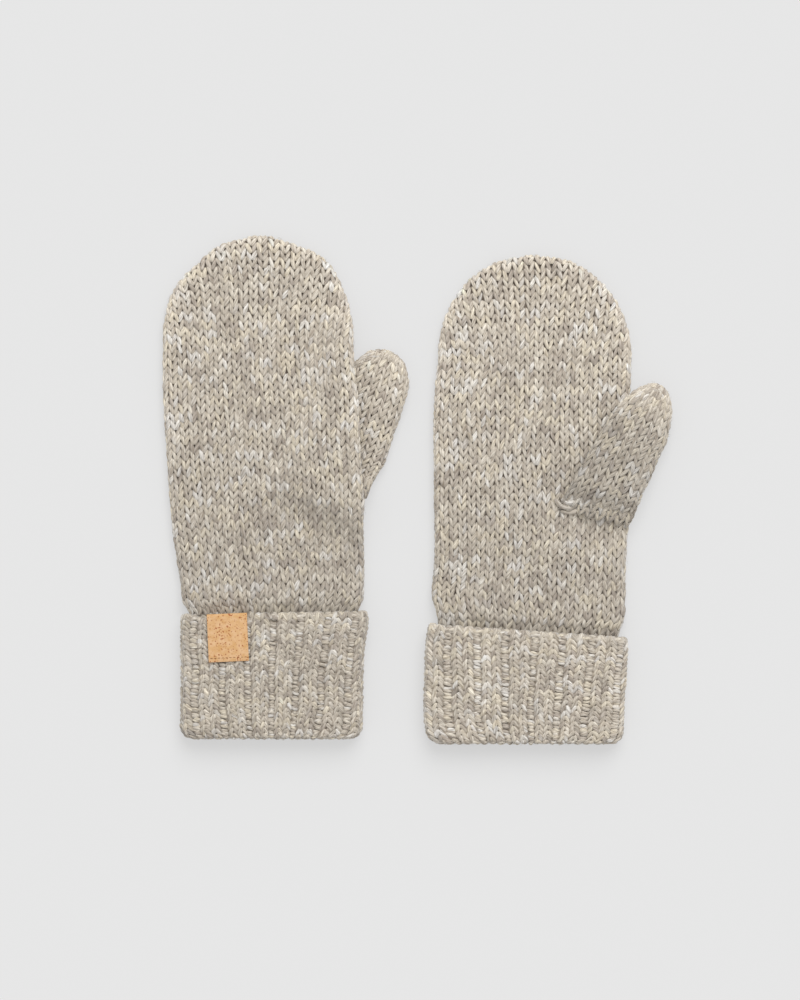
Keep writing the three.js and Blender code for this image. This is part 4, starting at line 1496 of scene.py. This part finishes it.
class MITTENS_OT_hands(bpy.types.Operator):
    """Knits the back and the palm of both hands over their solids"""

    bl_idname = "mittens.hands"
    bl_label = "Knit hands"

    def execute(self, context):
        for mitten in PAIR:
            for part, upper in (("back", -mitten.thumb_side), ("palm", mitten.thumb_side)):
                node = f"{mitten.name}_{part}"
                cloth = hand_shell(mitten, upper, node + "_cloth")
                finish_piece(cloth, "Shaded wool ground")
                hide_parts(node)
                stitches = hand_stitches(mitten, upper, node + "_stitches")
                finish_piece(stitches, "Marled wool yarn")
        return {"FINISHED"}


class MITTENS_OT_thumbs(bpy.types.Operator):
    """Knits both thumbs over their solids"""

    bl_idname = "mittens.thumbs"
    bl_label = "Knit thumbs"

    def execute(self, context):
        for mitten in PAIR:
            node = f"{mitten.name}_thumb"
            cloth = thumb_shell(mitten, node + "_cloth")
            finish_piece(cloth, "Shaded wool ground")
            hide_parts(node)
            faces = []
            for outward, side in ((1, "outer"), (-1, "inner")):
                stitches = thumb_stitches(mitten, outward, f"{node}_{side}_stitches")
                faces.append(stitches)
            faces += [corner_loops(mitten, node + "_corner_loops"), tip_rows(mitten, node + "_tip_rows")]
            for piece in faces:
                finish_piece(piece, "Marled wool yarn")
        return {"FINISHED"}


class MITTENS_OT_cuffs(bpy.types.Operator):
    """Knits both ribbed cuffs over their solids"""

    bl_idname = "mittens.cuffs"
    bl_label = "Knit cuffs"

    def execute(self, context):
        for mitten in PAIR:
            node = f"{mitten.name}_cuff"
            cloth = cuff_shell(mitten, node + "_cloth")
            # painted shade: the rib's cloth is coloured darker than the yarn, as the shaded and lit cloth
            # seen between its stitches
            finish_piece(cloth, "Shaded ribbed wool ground")
            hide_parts(node)
            stitches = cuff_stitches(mitten, node + "_stitches")
            for half in stitches:
                finish_piece(half, "Marled wool yarn")
        return {"FINISHED"}


class MITTENS_OT_nap(bpy.types.Operator):
    """Brushes up the fibre ends over both mittens"""

    bl_idname = "mittens.nap"
    bl_label = "Brush up nap"

    def execute(self, context):
        sizes = context.scene.mitten_sizes
        for mitten in PAIR:
            rng = np.random.default_rng([RANDOM_SEED, 21, mitten.name == "left"])
            side = mitten.thumb_side
            back, palm = HandFace(mitten, -side), HandFace(mitten, side)
            thumb, cuff = ThumbFace(mitten, side), CuffFace(mitten)
            up_hand = mitten.hand[0][0] + 2, mitten.tip_y + mitten.tip_length + 2
            round_cuff = -0.32 * cuff.girth, 0.32 * cuff.girth
            # the side that lies underneath gets a quarter of the fibres
            under, over = sizes.nap_hand // 4, sizes.nap_hand
            back_count, palm_count = (over, under) if side < 0 else (under, over)
            for part, face, count, x_range, y_range in (
                ("back", back, back_count, (-60, 60), up_hand),
                ("palm", palm, palm_count, (-60, 60), up_hand),
                ("thumb", thumb, sizes.nap_thumb, (-20, 20), (2, mitten.thumb.length + 2)),
                ("cuff", cuff, sizes.nap_cuff, round_cuff, (-1.5, cuff.fold_from + 8)),
            ):
                piece = nap(mitten, part, face, count, x_range, y_range, rng)
                finish_piece(piece, "Marled wool yarn")
        return {"FINISHED"}


class MITTENS_OT_label(bpy.types.Operator):
    """Folds the cork label over the left cuff and sews it down"""

    bl_idname = "mittens.label"
    bl_label = "Sew on label"

    def execute(self, context):
        strip = label_strip(LEFT, "left_label_strip")
        finish_piece(strip, "Cork fabric")
        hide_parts("left_label")
        thread = label_thread(LEFT, "left_label_thread")
        finish_piece(thread, "Polyester sewing thread")
        return {"FINISHED"}


class MITTENS_OT_stage(bpy.types.Operator):
    """Lays out the pale floor, the soft light and the camera straight above"""

    bl_idname = "mittens.stage"
    bl_label = "Set the stage"

    def execute(self, context):
        scene = context.scene
        colours, sizes = scene.mitten_colours, scene.mitten_sizes
        bpy.ops.object.select_all(action="DESELECT")
        bpy.ops.mesh.primitive_plane_add(size=FLOOR_SIZE, location=(0, 0, 0))
        floor = context.active_object
        floor.name = "floor"
        material, tree = new_material("Matt paper floor")
        add_shader(
            tree,
            Roughness=0.9,
            Base_Color=(*colours.floor, 1),
            Emission_Color=(1, 1, 1, 1),
            Emission_Strength=FLOOR_GLOW,
            Specular_IOR_Level=0.0,
        )
        floor.data.materials.append(material)

        world = bpy.data.worlds.new("Soft studio")
        world.use_nodes = True
        background = world.node_tree.nodes["Background"]
        background.inputs["Color"].default_value = (1, 1, 1, 1)
        background.inputs["Strength"].default_value = SKY_STRENGTH
        scene.world = world

        # a large soft light from the upper right, even over the whole floor
        slant = Vector(KEY_FROM).to_track_quat("Z", "Y").to_euler()
        bpy.ops.object.light_add(type="SUN", rotation=slant)
        key = context.active_object
        key.name = "Soft key light"
        key.data.angle = math.radians(KEY_SPREAD)
        key.data.energy = KEY_STRENGTH

        bpy.ops.object.camera_add(location=(*CAMERA_AIM, sizes.camera_height), rotation=(0, 0, 0))
        camera = context.active_object
        camera.data.lens = CAMERA_LENS
        camera.data.sensor_width = CAMERA_SENSOR
        scene.camera = camera
        scene.view_settings.view_transform = "Standard"
        return {"FINISHED"}


class MITTENS_PT_panel(bpy.types.Panel):
    """Lists the pieces and their sizes and colours"""

    bl_label = "Mittens"
    bl_space_type = "VIEW_3D"
    bl_region_type = "UI"
    bl_category = "Mittens"

    def draw(self, context):
        for group in (context.scene.mitten_sizes, context.scene.mitten_colours):
            box = self.layout.box()
            for name in group.__annotations__:
                box.prop(group, name)
        for operator in OPERATORS:
            self.layout.operator(operator.bl_idname)


OPERATORS = (
    MITTENS_OT_hands,
    MITTENS_OT_thumbs,
    MITTENS_OT_cuffs,
    MITTENS_OT_nap,
    MITTENS_OT_label,
    MITTENS_OT_stage,
)
CLASSES = (MittenSizes, MittenColours, *OPERATORS, MITTENS_PT_panel)


def register():
    for cls in CLASSES:
        bpy.utils.register_class(cls)
    bpy.types.Scene.mitten_sizes = PointerProperty(type=MittenSizes)
    bpy.types.Scene.mitten_colours = PointerProperty(type=MittenColours)


def unregister():
    del bpy.types.Scene.mitten_colours
    del bpy.types.Scene.mitten_sizes
    for cls in reversed(CLASSES):
        bpy.utils.unregister_class(cls)


def main():
    register()
    bpy.ops.mittens.hands()
    bpy.ops.mittens.thumbs()
    bpy.ops.mittens.cuffs()
    bpy.ops.mittens.nap()
    bpy.ops.mittens.label()
    bpy.ops.mittens.stage()


if __name__ == "__main__":
    main()
